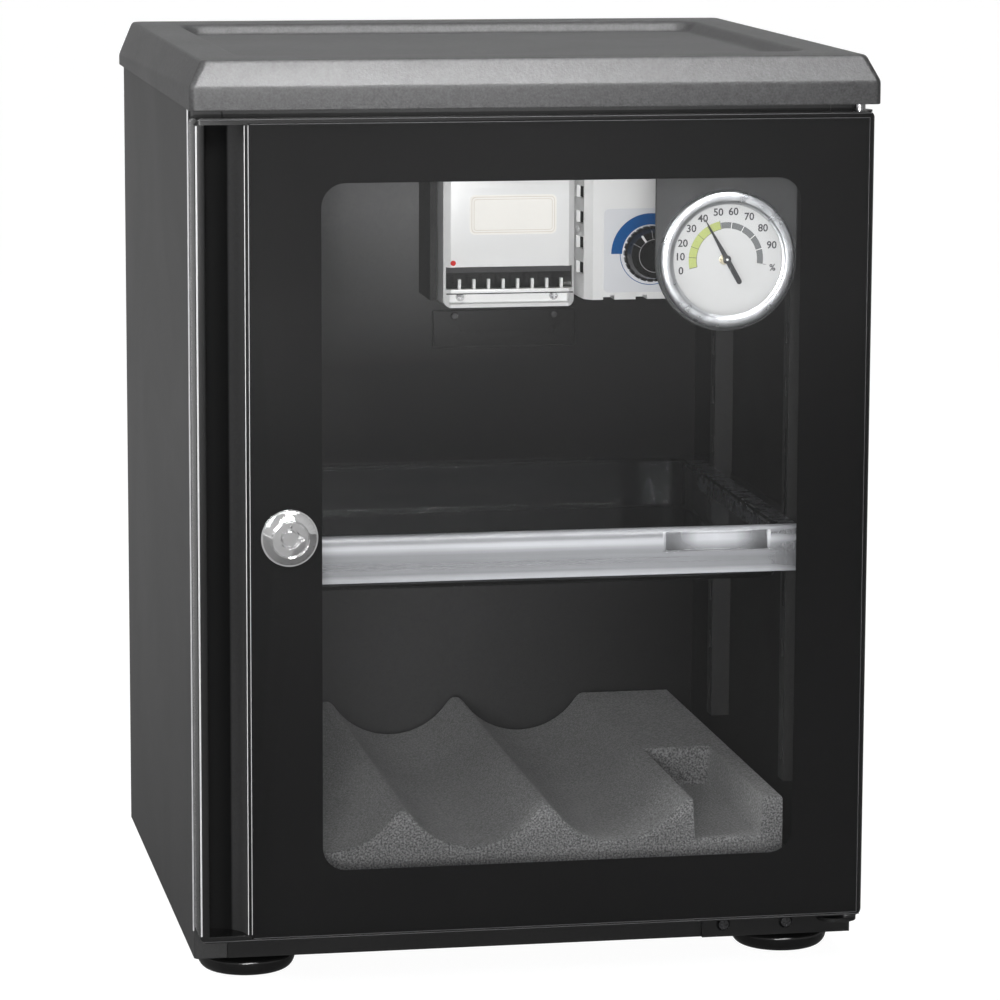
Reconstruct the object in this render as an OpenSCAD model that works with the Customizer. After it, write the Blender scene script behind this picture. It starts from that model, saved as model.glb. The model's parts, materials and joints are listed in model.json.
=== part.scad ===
// Camera dry cabinet: a steel body with a glazed door, a moulded lid, a drying unit,
// a humidity control, a hygrometer behind the glass, a clear shelf tray and a foam lens bed.
// The modules work from the door's lower left front corner: X right, Y to the back, Z up.

/* [Cabinet] */
// Width of the body and of the door
cabinet_w = 340; // [320:1:420]
// Depth of the steel body behind the door
body_d = 310; // [290:1:400]
// Height of the steel body
body_h = 432; // [410:1:520]
// Height of the body below the door
plinth_h = 15; // [12:0.5:30]
// Thickness of the sheet steel
skin_t = 1.2; // [0.8:0.1:1.6]
// Bend radius on the outside of the sheet steel
bend_r = 2.4; // [2:0.1:3]
// Thickness of the side walls, from the outer face to the chamber
side_wall_t = 15; // [13:0.5:22]
// Thickness of the rear wall
rear_wall_t = 11; // [9:0.5:20]
// Width of the flange round the front of the body
flange_w = 17; // [16:0.5:20]
// Height of the chamber floor above the door's lower edge
floor_rise = 12; // [11:0.5:14]
// Depth of the ceiling below the top of the body
ceiling_drop = 21; // [20:0.5:30]

/* [Lid] */
// How far the lid stands out past each side of the body
lid_side_over = 2.4; // [2.2:0.1:4]
// How far the lid stands out past the door's front
lid_front_over = 1.6; // [0.5:0.1:3]
// How far the lid stands out past the back
lid_rear_over = 1.5; // [0.5:0.1:3]
// Height of the lid
lid_h = 24.2; // [22:0.1:30]
// Height of the lid's upright skirt at the front
lid_skirt_front = 11.5; // [10:0.1:13]
// Height of the lid's upright skirt at the back
lid_skirt_rear = 5.7; // [5:0.1:8]
// Gap between the door's upper edge and the lid
lid_gap = 3.6; // [2:0.1:5]
// How far the lid comes down over the body
lid_lap = 3; // [2:0.5:5]
// Wall thickness of the lid
lid_t = 2; // [1.6:0.1:2.1]
// Depth of the tray in the top of the lid
lid_tray_depth = 5.5; // [5:0.1:8]
// Margin from the lid's side to its tray
lid_tray_side = 28.4; // [20:0.5:40]
// Margin from the lid's front to its tray
lid_tray_front = 37.6; // [20:0.5:50]
// Margin from the lid's back to its tray
lid_tray_rear = 44; // [20:0.5:60]

/* [Door] */
// Thickness of the door
door_t = 25.2; // [24:0.1:28]
// Gap between the door and the body
door_gap = 0.8; // [0.7:0.05:1.2]
// Corner radius of the door seen from the front
door_corner_r = 4; // [2:0.5:6]
// Rounding of the door's upright edges
door_edge_r = 3; // [2:0.1:4]
// Width of the finger grip down the opening side
grip_w = 25; // [22:0.5:30]
// Thickness of the outer lip of the grip
grip_lip_t = 5.1; // [4:0.1:7]
// Depth of the finger channel
grip_depth = 17; // [14:0.5:19]
// Height of the door's end pieces above and below the grip
grip_end_h = 3.2; // [3:0.1:6]
// Thickness of the glass
glass_t = 4; // [3:0.1:4.5]
// Setback of the glass behind the frame's front
glass_setback = 0.3; // [0.1:0.1:0.6]
// Rim of the frame on the hinge side of the glass
rim_right = 2.7; // [2:0.1:4]
// Rim of the frame above the glass
rim_top = 2.8; // [2:0.1:4]
// Rim of the frame below the glass
rim_bottom = 1.3; // [1:0.1:3]
// Thickness of the printed border
print_t = 0.2; // [0.1:0.05:0.4]
// Printed border on the opening side
border_left = 36.3; // [34:0.1:45]
// Printed border on the hinge side
border_right = 34.1; // [30:0.1:45]
// Printed border at the top
border_top = 29.6; // [26:0.1:40]
// Printed border at the bottom
border_bottom = 32.6; // [28:0.1:40]
// Corner radius of the clear window
window_r = 12; // [6:0.5:20]

/* [Hinge] */
// Distance of the hinge axis from the door's edge
hinge_in = 5; // [4:0.1:6]
// Distance of the hinge axis from the door's front
hinge_back = 13; // [12.6:0.1:14]
// Radius of the hinge pins
hinge_pin_r = 3; // [2:0.1:3.5]
// Thickness of the hinge plates
hinge_plate_t = 2; // [1.5:0.1:2.5]
// Width of the hinge plates
hinge_plate_w = 20; // [18:0.5:30]

/* [Lock] */
// Distance of the lock from the door's edge
lock_in = 45.7; // [44:0.1:47]
// Height of the lock above the door's lower edge
lock_up = 203.7; // [150:0.1:260]
// Radius of the lock's bezel
lock_bezel_r = 13.3; // [12:0.1:14]
// How far the lock stands out of the glass
lock_proud = 3.8; // [3:0.1:5]
// Radius of the lock's barrel
lock_barrel_r = 9.5; // [8.5:0.1:10]
// Radius of the turning plug
lock_plug_r = 4.95; // [4.5:0.05:5.5]
// Length of the cam from the lock's axis to its tip
lock_cam_l = 37; // [35:0.5:38]

/* [Hygrometer] */
// Outer radius of the hygrometer's bezel
hygro_r = 34.4; // [33:0.1:36]
// Radius of the dial that shows inside the bezel
hygro_dial_r = 27.8; // [26:0.1:28.5]
// Distance of the hygrometer's axis from the hinge side of the window
hygro_in = 36.7; // [35:0.1:60]
// Distance of the hygrometer's axis below the top of the window
hygro_down = 41; // [38:0.1:60]
// Depth of the hygrometer's case
hygro_d = 17.5; // [15:0.5:18]
// Length of the needle's point
needle_l = 23.2; // [20:0.1:25]

/* [Drying unit] */
// Width of the drying unit's cover
dryer_w = 74.2; // [60:0.1:90]
// Height of the drying unit's cover
dryer_h = 100; // [80:1:110]
// Depth of the drying unit
dryer_d = 41; // [30:0.5:60]
// Gap between the cover and the humidity control's case
dryer_gap = 2.3; // [1:0.1:8]
// Gap between the cover and the ceiling
dryer_hang = 15.2; // [5:0.1:40]
// Number of ribs across the outlet
dryer_ribs = 8; // [4:1:12]

/* [Humidity control] */
// Width of the control's case
control_w = 56; // [50:0.5:58]
// Height of the control's case
control_h = 92; // [80:1:110]
// Depth of the control's case
control_d = 38; // [30:0.5:60]
// Gap between the case's face and the side wall
control_side = 12.2; // [10:0.1:40]
// Gap between the case and the ceiling
control_hang = 20.5; // [5:0.1:40]
// Radius of the knob
knob_r = 15.7; // [12:0.1:18]
// How far the knob stands out
knob_h = 12; // [8:0.5:16]

/* [Shelf tray] */
// Height of the tray's rim above the door's lower edge
tray_up = 196; // [150:1:260]
// Depth of the tray's basin
tray_basin_h = 28; // [24:0.5:40]
// Wall thickness of the clear tray
tray_t = 2; // [1.6:0.1:3]
// Height of the lip across the tray's front
tray_lip_h = 23.5; // [20:0.5:28]
// Distance of the lip behind the door's front
tray_front = 40; // [38:0.5:50]
// Gap between the tray's back and the drying unit
tray_rear_gap = 6; // [4:0.5:60]

/* [Lens bed] */
// Height of the foam
foam_h = 42.6; // [36:0.1:60]
// Depth of the lens cradles
cradle_depth = 20.3; // [12:0.1:26]
// Gap between the foam's back and the rear wall
foam_rear_gap = 15; // [2:0.5:60]

/* [Feet] */
// Radius of a foot
foot_r = 25; // [20:0.5:30]
// Height of a foot
foot_h = 12; // [8:0.5:20]
// Distance of the feet from the sides
foot_in = 30; // [26:0.5:60]
// Distance of the feet from the body's front and back
foot_deep = 29; // [26:0.5:60]

/* [Hidden] */
$fn = 48;

// Overrun of every cut
over = 1;
// Clearance between pieces that move past each other
free_gap = 0.3;
// Clearance between pieces that only stand near each other
fit_clear = 0.5;
// Radial clearance of a shaft that turns in its hole
run_gap = 0.05;
// Radial clearance of a pin or screw that is fixed in its hole
fit_gap = 0.02;

// Main planes of the body
body_y = door_t + door_gap;
rear_y = body_y + body_d;
body_z = -plinth_h;
body_top = body_z + body_h;
lid_z = body_top - lid_lap;
door_h = lid_z - lid_gap;

// The chamber
room_x0 = side_wall_t;
room_x1 = cabinet_w - side_wall_t;
room_y1 = rear_y - rear_wall_t;
room_z0 = floor_rise;
room_z1 = body_top - ceiling_drop;

// Folded edges of the rear and floor sheets
hem = 9;

// Lid
lid_w = cabinet_w + 2 * lid_side_over;
lid_d = rear_y + lid_rear_over + lid_front_over;
lid_inset_side = 6.4;
lid_inset_front = 5.1;
lid_inset_rear = 9.8;
lid_corner_r = 3;
lid_tray_slope = 5;
lid_tray_r = 14;
lid_skin = 0.1;
lid_rib_t = 2.4;
lid_ribs = 3;

// Door glass and window
glass_land = 1;
glass_x0 = grip_w + glass_land;
glass_x1 = cabinet_w - rim_right;
glass_z0 = rim_bottom;
glass_z1 = door_h - rim_top;
glass_play = 0.2;
window_x0 = glass_x0 + border_left;
window_x1 = glass_x1 - border_right;
window_z0 = glass_z0 + border_bottom;
window_z1 = glass_z1 - border_top;
glass_back = glass_setback + glass_t;
ledge_y = glass_back + print_t;
opening_extra = 10;
opening_lock_side = 2.3;
opening_x0 = window_x0 - opening_lock_side;
opening_x1 = window_x1 + opening_extra;
opening_z0 = window_z0 - opening_extra;
opening_z1 = window_z1 + opening_extra;
opening_r = 6;

// Finger grip
grip_land = 1;
grip_scoop_w = grip_w - grip_lip_t - grip_land;
grip_bottom_r = 2.5;
grip_steps = 12;

// Gasket
gasket_w = 9;
gasket_in = 4;
gasket_top = 4.4;
gasket_groove = 2;
gasket_reach = door_gap - free_gap;

// Hinge
hinge_x = cabinet_w - hinge_in;
hinge_y = hinge_back;
hinge_round = 8;
hinge_top_back = 50;
hinge_bush_r = 5.5;
hinge_bush_h = 9;
hinge_bush_rim_r = 6.5;
hinge_bush_rim_h = 1;
hinge_pin_reach = 8;
hinge_low_drop = 3;
hinge_low_w = 78;
hinge_low_lip = 1.5;
hinge_screw_r = 2;
hinge_low_screw_z = body_z + (plinth_h - hinge_low_lip) / 2;
hinge_screw_first = 11;
hinge_screw_pitch = 33;
hinge_screw_places = [for (i = [0, 1]) cabinet_w - hinge_low_w + hinge_screw_first + i * hinge_screw_pitch];
hinge_head_r = 3.6;
hinge_head_h = 1.6;

// Lock
lock_face_y = glass_setback - lock_proud;
lock_step = 0.6;
lock_screw_shank_r = 1.8;
lock_flat_r = 8.95;
lock_flange_w = 0.9;
lock_flange_r = lock_bezel_r + lock_flange_w;
lock_flange_h = 0.7;
lock_key_r = 3.75;
lock_key_depth = 6;
lock_barrel_past = 0.3;
lock_barrel_back = door_t + lock_barrel_past;
lock_notch_w = 1.8;
lock_notch_l = 1.9;
lock_hole_play = 0.25;
lock_nut_af = 22;
lock_nut_h = 4;
lock_pocket_depth = 6;
lock_nut_y = door_t - lock_pocket_depth;
lock_pocket_r = 13.3;
lock_square = 6.4;
lock_cam_gap = 1.6;
lock_cam_y = body_y + skin_t + lock_cam_gap;
lock_cam_t = 2;
lock_cam_w = 13;
keeper_d = 8;
keeper_t = 1;
keeper_play = 1.2;
keeper_margin = 3;
keeper_out = lock_in - room_x0 - keeper_t;
keeper_sweep = sqrt(pow(lock_cam_l, 2) + pow(lock_cam_w / 2, 2) - pow(keeper_out, 2));
keeper_z0 = lock_up - keeper_sweep - keeper_margin;
keeper_z1 = lock_up + lock_cam_w / 2 + keeper_margin;
lock_screw_r = 4.6;
lock_screw_h = 2;

// Hygrometer
hygro_x = window_x1 - hygro_in;
hygro_z = window_z1 - hygro_down;
hygro_glass_gap = 0.6;
hygro_front = glass_back + hygro_glass_gap;
hygro_bezel_h = 4.2;
hygro_plate_t = 2.4;
hygro_plate_margin = 1.6;
hygro_bezel_lap = 3.4;
hygro_case_r = hygro_r - hygro_bezel_lap;
hygro_wall = 1.4;
hygro_seat_y = hygro_front + hygro_bezel_h;
hygro_crystal_t = 1.2;
hygro_dial_t = 0.8;
hygro_boss_gap = 1;
hygro_boss_r = 5;
hygro_dome_share = 0.28;
hygro_glass_hold = 1.2;
hygro_glass_r = hygro_dial_r + hygro_glass_hold;
hygro_glass_y = 1.2;
hygro_dial_set = 4;
hygro_dial_y = hygro_front + hygro_dial_set;
hygro_foot_d = 14;
hygro_seat_step = 0.8;
needle_t = 0.5;
needle_lift = 1.4;
needle_y = hygro_dial_y - needle_lift;
needle_hub_r = 1.8;
needle_tail_l = 12.7;
needle_tail_r = 1.35;
needle_root_w = 1.3;
needle_tip_w = 0.3;
needle_angle = 119.5;
spindle_r = 0.95;
spindle_end = 4;
spindle_y = hygro_front + hygro_d - spindle_end;

// Humidity control
control_x = room_x1 - control_side - control_w;
control_front = room_y1 - control_d;
control_z = room_z1 - control_hang - control_h;
control_taper = 8.3;
control_t = 2;
control_r = 5;
control_vents = 5;
control_vent_pitch = 14.2;
control_vent_h = 6.8;
control_vent_d = 12;
control_vent_up = 13.8;
control_notches = 3;
control_notch_w = 6.5;
control_notch_pitch = 18.6;
control_notch_in = 6;
control_notch_depth = 2.4;
control_sheet_in = 6.2;
control_sheet_up = 4;
control_sheet_w = 46;
control_sheet_h = 47.1;
control_sheet_r = 3;
knob_in = 33;
knob_up = 25.7;
knob_x = control_x + knob_in;
knob_z = control_z + knob_up;
knob_skirt_h = 3;
knob_disc_r = 8.7;
knob_bar_w = 2.6;
knob_top_r = 12.8;
knob_teeth = 24;
knob_tooth_r = 0.6;
knob_turn = 35;
knob_shaft_r = 3;
knob_shaft_in = 8;
control_pot_r = 8;
control_pot_d = 9;
control_pot_neck_r = 4.6;

// Drying unit
dryer_x = room_x1 - control_side - control_w - control_taper - dryer_gap - dryer_w;
dryer_front = room_y1 - dryer_d;
dryer_z = room_z1 - dryer_hang - dryer_h;
dryer_t = 2;
dryer_chamfer = 3.7;
dryer_r = 4;
dryer_slot_z = 7.7;
dryer_slot_h = 12.5;
dryer_slot_side = 6;
dryer_lip_h = 2.5;
dryer_rib_t = 1.4;
dryer_rib_h = 5.6;
dryer_rib_d = 14;
dryer_shelf_d = 9;
dryer_screw_r = 2.5;
dryer_screw_h = 1.6;
dryer_screw_side = 10.5;
dryer_screw_up = 5;
dryer_bracket_t = 4;
dryer_bracket_gap = 3.5;
dryer_lamp_r = 1.5;
dryer_lamp_in = 5;
dryer_lamp_up = 25;
dryer_label_w = 49.1;
dryer_label_h = 22.1;
dryer_label_r = 3;
dryer_label_in = 14.2;
dryer_label_up = 40.7;
label_t = 0.3;

// Blanking plate below the drying unit
blank_w = 80.7;
blank_h = 20;
blank_side = 1;
blank_gap = 6.8;
blank_x = dryer_x + blank_side;
blank_z = dryer_z - blank_gap - blank_h;
blank_t = 1.5;
blank_screw_in = 11.7;
blank_screw_down = 2.6;
blank_screw_r = 2.2;
blank_screw_h = 1.2;
blank_dimple_in = 13.4;
blank_dimple_up = 8.6;
blank_dimple_r = 1.8;
blank_dimple_depth = 0.5;

// Power inlet and vent cover at the back
inlet_x = knob_x;
inlet_down = 9.2;
inlet_z = knob_z - inlet_down;
inlet_r = 9;
inlet_flange_r = 13;
inlet_flange_h = 1.8;
inlet_bore_r = 3.2;
inlet_pin_r = 1.1;
inlet_depth = 8;
vent_w = 92;
vent_h = 92;
vent_x = dryer_x + dryer_w / 2 - vent_w / 2;
vent_down = 4;
vent_z = dryer_z - vent_down;
vent_proud = lock_proud - glass_setback;
vent_r = 5;
vent_t = 1.6;
vent_slats = 7;
vent_slat_h = 3;
vent_edge = 12;
vent_screw_in = 5;
vent_screw_r = 2.6;
vent_screw_h = 1;

// Shelf rails and tray runners
rail_w = 11;
rail_d = 10;
rail_low = foam_h + fit_clear;
rail_high = 8;
rail_wall = 1.5;
rail_front = 44;
rail_back_gap = 81;
rail_rear = room_y1 - rail_back_gap - rail_w - body_y;
rail_slot_w = 4;
rail_slot_h = 10;
rail_slots = 12;
runner_t = 1.5;
runner_leg = 14;
runner_shelf = 9;
runner_past = 16;

// Tray
tray_d = dryer_front - tray_front - tray_rear_gap;
tray_rim_gap = 1.5;
tray_rim_side = runner_t + rail_d + tray_rim_gap;
tray_basin_side = 19;
tray_basin_r = 12;
tray_basin_front = 6;
tray_basin_rear = 8;
tray_lip_side = 3;
tray_lip_t = 2;
tray_lip_r = 3;
tray_pull_w = 54.7;
tray_pull_h = 9;
tray_pull_right = 26;
tray_pull_t = 0.8;
tray_pull_up = 12;

// Foam
foam_side_gap = 3;
foam_hinge_gap = 17.6;
foam_side_crest = 18.8;
cradles = 3;
cradle_steps = 16;
crest_flat = 3;
foam_d = room_y1 - tray_front - foam_rear_gap;
pocket_w = 35.7;
pocket_side = 11.1;
pocket_depth = 20.6;
pocket_d = 120;
foam_front = tray_front;
foam_base = floor_rise;

// Feet
foot_pad_r = 17;
foot_neck_r = 11;
foot_dome_share = 0.55;
dome_steps = 8;
foot_screw_r = 2;
foot_head_r = 3.6;
foot_head_h = 2;
foot_recess_r = 5;
foot_recess_h = 4;

steel = "#5a5a5c";
black = "#1b1b1c";

// Put the pieces in the cabinet's own frame, with the floor at zero height
module place() {
    translate([-cabinet_w / 2, -rear_y / 2, foot_h + plinth_h])
        children();
}

// A box from one corner to the opposite one
module span(x0, x1, y0, y1, z0, z1) {
    translate([x0, y0, z0])
        cube([x1 - x0, y1 - y0, z1 - z0]);
}

// A flat rectangle with round corners, from its lower left corner
module round_rect(w, h, r) {
    translate([r, 0])
        square([w - 2 * r, h]);
    translate([0, r])
        square([w, h - 2 * r]);
    for (x = [r, w - r], y = [r, h - r])
        translate([x, y])
            circle(r);
}

// A plate that stands upright, seen from the front, with its front face at y
module front_plate(x, y, z, w, h, r, t) {
    translate([x, y + t, z])
        rotate([90, 0, 0])
            linear_extrude(t)
                round_rect(w, h, r);
}

// A round bar along Y from y0 to y1
module bar_y(x, y0, y1, z, r) {
    translate([x, y0, z])
        rotate([-90, 0, 0])
            cylinder(h = y1 - y0, r = r);
}

// The children mirrored about the middle of the cabinet
module opposite() {
    translate([cabinet_w, 0, 0])
        mirror([1, 0, 0])
            children();
}

// Outer skin of one side with its front flange and rear edge, folded from one sheet
module side_panel() {
    translate([0, body_y, body_z])
        linear_extrude(body_h)
            difference() {
                round_rect(flange_w + bend_r, body_d, bend_r);
                translate([skin_t, skin_t])
                    round_rect(flange_w + bend_r, body_d - 2 * skin_t, bend_r - skin_t);
                translate([flange_w, -over])
                    square([bend_r + over, body_d + 2 * over]);
                translate([hem, body_d - skin_t - over])
                    square([flange_w, skin_t + 2 * over]);
            }
}

module side_panel_left() {
    color(steel)
        place() side_panel();
}

module side_panel_right() {
    color(steel)
        place() opposite() side_panel();
}

// Rear sheet between the side panels, with a hole for the vent and one for the inlet
module back_panel() {
    x0 = hem;
    z1 = body_top - skin_t;
    z0 = body_z + skin_t;
    color(steel)
        place() difference() {
            union() {
                span(x0, cabinet_w - x0, rear_y - skin_t, rear_y, z0, z1);
                span(x0, cabinet_w - x0, rear_y - hem, rear_y, z0, z0 + skin_t);
                span(x0, cabinet_w - x0, rear_y - hem, rear_y, z1 - skin_t, z1);
            }
            span(vent_x + vent_edge, vent_x + vent_w - vent_edge, rear_y - skin_t - over, rear_y + over,
                vent_z + vent_edge, vent_z + vent_h - vent_edge);
            bar_y(inlet_x, rear_y - skin_t - over, rear_y + over, inlet_z, inlet_r + fit_gap);
        }
}

// A level sheet that fits inside the bends of the two side panels
module sheet_between(z) {
    translate([skin_t, body_y + skin_t, z])
        linear_extrude(skin_t)
            round_rect(cabinet_w - 2 * skin_t, body_d - 2 * skin_t, bend_r - skin_t);
}

// Bottom sheet with its front flange, which shows below the door
module bottom_pan() {
    color(steel)
        place() difference() {
            union() {
                span(flange_w, cabinet_w - flange_w, body_y, body_y + skin_t, body_z, room_z0);
                sheet_between(body_z);
            }
            for (x = hinge_screw_places)
                bar_y(x, body_y - over, body_y + skin_t + over, hinge_low_screw_z,
                    hinge_screw_r + fit_gap);
            foot_places()
                translate([0, 0, body_z - over])
                    cylinder(h = skin_t + 2 * over, r = foot_screw_r + fit_gap);
        }
}

// Top sheet under the lid, with its front flange
module top_deck() {
    color(steel)
        place() union() {
            span(flange_w, cabinet_w - flange_w, body_y, body_y + skin_t, room_z1, body_top);
            sheet_between(body_top - skin_t);
        }
}

// Liner of one side, with the slot that the lock's cam turns into on the opening side
module inner_side(slotted) {
    difference() {
        span(room_x0 - skin_t, room_x0, body_y + skin_t, room_y1, room_z0, room_z1);
        if (slotted)
            span(room_x0 - skin_t - over, room_x0 + over, lock_cam_y - keeper_play, lock_cam_y + keeper_d,
                keeper_z0, keeper_z1);
    }
}

module inner_side_left() {
    color("#3a3a3b")
        place() inner_side(true);
}

module inner_side_right() {
    color("#3a3a3b")
        place() opposite() inner_side(false);
}

// Liner of the rear wall, with the hole that the drying unit breathes through
module inner_back() {
    color("#4a4a4b")
        place() difference() {
            span(room_x0 - skin_t, room_x1 + skin_t, room_y1, room_y1 + skin_t,
                room_z0 - skin_t, room_z1 + skin_t);
            span(vent_x + vent_edge, vent_x + vent_w - vent_edge, room_y1 - over, room_y1 + skin_t + over,
                vent_z + vent_edge, vent_z + vent_h - vent_edge);
            bar_y(inlet_x, room_y1 - over, room_y1 + skin_t + over, inlet_z, inlet_bore_r);
        }
}

module inner_floor() {
    color("#3a3a3b")
        place() span(room_x0 - skin_t, room_x1 + skin_t, body_y + skin_t, room_y1,
            room_z0 - skin_t, room_z0);
}

module inner_ceiling() {
    color("#3a3a3b")
        place() span(room_x0 - skin_t, room_x1 + skin_t, body_y + skin_t, room_y1,
            room_z1, room_z1 + skin_t);
}

// One level of the lid's outline: a thin slab whose height differs from front to back
module lid_level(inset_side, inset_front, inset_rear, z_front, z_rear) {
    x0 = -lid_side_over + inset_side + lid_corner_r;
    x1 = cabinet_w + lid_side_over - inset_side - lid_corner_r;
    y0 = -lid_front_over + inset_front + lid_corner_r;
    y1 = rear_y + lid_rear_over - inset_rear - lid_corner_r;
    for (x = [x0, x1]) {
        translate([x, y0, z_front])
            cylinder(h = lid_skin, r = lid_corner_r, $fn = 24);
        translate([x, y1, z_rear])
            cylinder(h = lid_skin, r = lid_corner_r, $fn = 24);
    }
}

module lid_outside() {
    hull() {
        lid_level(0, 0, 0, lid_z, lid_z);
        lid_level(0, 0, 0, lid_z + lid_skirt_front - lid_skin, lid_z + lid_skirt_rear - lid_skin);
        lid_level(lid_inset_side, lid_inset_front, lid_inset_rear, lid_z + lid_h - lid_skin,
            lid_z + lid_h - lid_skin);
    }
}

// Cutter of the shallow tray in the lid's top, whose walls slope
module lid_recess() {
    x0 = -lid_side_over + lid_tray_side;
    y0 = -lid_front_over + lid_tray_front;
    w = lid_w - 2 * lid_tray_side;
    d = lid_d - lid_tray_front - lid_tray_rear;
    hull() {
        translate([x0, y0, lid_z + lid_h])
            linear_extrude(over)
                round_rect(w, d, lid_tray_r, $fn = 32);
        translate([x0 + lid_tray_slope, y0 + lid_tray_slope, lid_z + lid_h - lid_tray_depth])
            linear_extrude(over)
                round_rect(w - 2 * lid_tray_slope, d - 2 * lid_tray_slope,
                    lid_tray_r - lid_tray_slope, $fn = 32);
    }
}

// Moulded lid: open below, with ribs that stand on the steel deck
module top_cover() {
    roof = lid_z + lid_h - lid_tray_depth - lid_t;
    shelf = lid_z + lid_skirt_rear;
    color("#4c4c4d")
        place() difference() {
            lid_outside();
            lid_recess();
            difference() {
                union() {
                    span(-free_gap, cabinet_w + free_gap, -lid_front_over + lid_t, rear_y + free_gap,
                        lid_z - over, shelf);
                    span(lid_inset_side + lid_t, cabinet_w - lid_inset_side - lid_t, lid_inset_front + lid_t,
                        rear_y - lid_inset_rear - lid_t, shelf - over, roof);
                }
                for (x = [1 : lid_ribs])
                    span(x * cabinet_w / (lid_ribs + 1) - lid_rib_t, x * cabinet_w / (lid_ribs + 1), body_y,
                        rear_y - hem, body_top, roof + over);
            }
        }
}

// The four places of the feet, below the body
module foot_places() {
    for (x = [foot_in, cabinet_w - foot_in], y = [body_y + foot_deep, rear_y - foot_deep])
        translate([x, y, 0])
            children();
}

// Domed glides, revolved from a profile whose edge is a quarter ellipse
module feet() {
    rise = foot_h * foot_dome_share;
    color(black)
        place() foot_places()
            translate([0, 0, body_z - foot_h])
                difference() {
                    rotate_extrude()
                        polygon(concat([[0, 0], [foot_pad_r, 0]],
                            [for (i = [1 : dome_steps]) let (a = 90 * i / dome_steps)
                                [foot_pad_r + (foot_r - foot_pad_r) * sin(a), rise * (1 - cos(a))]],
                            [[foot_neck_r, foot_h], [0, foot_h]]));
                    translate([0, 0, -over])
                        cylinder(h = foot_recess_h + over, r = foot_recess_r);
                    cylinder(h = foot_h + over, r = foot_screw_r + fit_gap);
                }
}

module foot_screws() {
    color("silver")
        place() foot_places() {
            translate([0, 0, body_z - foot_h + foot_recess_h - foot_head_h])
                cylinder(h = foot_head_h, r = foot_head_r);
            translate([0, 0, body_z - foot_h + foot_recess_h - foot_head_h])
                cylinder(h = foot_h - foot_recess_h + foot_head_h + skin_t + foot_head_h, r = foot_screw_r);
        }
}

// One upright shelf rail: a lipped channel with a row of slots in its face
module shelf_rail(y) {
    z0 = room_z0 + rail_low;
    h = room_z1 - rail_high - z0;
    translate([room_x0, body_y + y, z0])
        difference() {
            cube([rail_d, rail_w, h]);
            translate([-over, rail_wall, -over])
                cube([rail_d - rail_wall + over, rail_w - 2 * rail_wall, h + 2 * over]);
            for (i = [0 : rail_slots - 1])
                translate([rail_d - rail_wall - over, (rail_w - rail_slot_w) / 2,
                        rail_slot_h + i * (h - 3 * rail_slot_h) / (rail_slots - 1)])
                    cube([rail_wall + 2 * over, rail_slot_w, rail_slot_h]);
        }
}

module shelf_rails_left() {
    color("#4a4a4b")
        place() {
            shelf_rail(rail_front);
            shelf_rail(rail_rear);
        }
}

module shelf_rails_right() {
    color("#4a4a4b")
        place() opposite() {
            shelf_rail(rail_front);
            shelf_rail(rail_rear);
        }
}

// Angle that the tray's rim slides on, held on the faces of the two rails
module tray_runner() {
    x0 = room_x0 + rail_d;
    top = tray_up - tray_t - free_gap;
    y0 = body_y + rail_front - runner_past;
    y1 = body_y + rail_rear + rail_w + runner_past;
    span(x0, x0 + runner_t, y0, y1, top - runner_leg, top);
    span(x0, x0 + runner_shelf, y0, y1, top - runner_t, top);
}

module tray_runner_left() {
    color("silver")
        place() tray_runner();
}

module tray_runner_right() {
    color("silver")
        place() opposite() tray_runner();
}

// Foam bed: a row of round cradles cut across it, and a pocket at the hinge side.
// Each cradle is a circle's arc between two flat crests.
module foam_insert() {
    x0 = room_x0 + foam_side_gap;
    w = cabinet_w - room_x0 - foam_hinge_gap - x0;
    first_crest = foam_side_crest - foam_side_gap;
    cradle_pitch = (w - first_crest - crest_flat - pocket_w - pocket_side) / cradles;
    half = (cradle_pitch - crest_flat) / 2;
    arc_r = (half * half + cradle_depth * cradle_depth) / (2 * cradle_depth);
    sweep = asin(half / arc_r);
    pocket_x = first_crest + cradles * cradle_pitch + crest_flat;
    color("#6d6d6e")
        place() translate([x0, foam_front, foam_base])
            difference() {
                translate([0, foam_d, 0])
                    rotate([90, 0, 0])
                        linear_extrude(foam_d)
                            polygon(concat([[0, 0], [0, foam_h]],
                                [for (c = [0 : cradles - 1], i = [0 : cradle_steps])
                                    let (a = -sweep + 2 * sweep * i / cradle_steps)
                                    [first_crest + (c + 0.5) * cradle_pitch + arc_r * sin(a),
                                    foam_h - cradle_depth + arc_r * (1 - cos(a))]],
                                [[w, foam_h], [w, 0]]));
                translate([pocket_x, -over, foam_h - pocket_depth])
                    cube([pocket_w, pocket_d + over, pocket_depth + over]);
            }
}

// Dark steel bracket behind and beside the drying unit
module dryer_bracket() {
    x0 = dryer_x - dryer_bracket_gap - dryer_bracket_t;
    color("#2c2c2d")
        place() {
            span(x0, x0 + dryer_bracket_t, dryer_front + dryer_r, room_y1, dryer_z + dryer_r,
                dryer_z + dryer_h);
            span(x0, dryer_x, room_y1 - skin_t, room_y1, dryer_z + dryer_r, dryer_z + dryer_h);
        }
}

// Outline of the drying unit's cover seen from above, with chamfered front corners
module dryer_plan(inset) {
    polygon([[inset, dryer_d], [inset, dryer_chamfer + inset], [dryer_chamfer + inset, inset],
        [dryer_w - dryer_chamfer - inset, inset], [dryer_w - inset, dryer_chamfer + inset],
        [dryer_w - inset, dryer_d]]);
}

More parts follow.
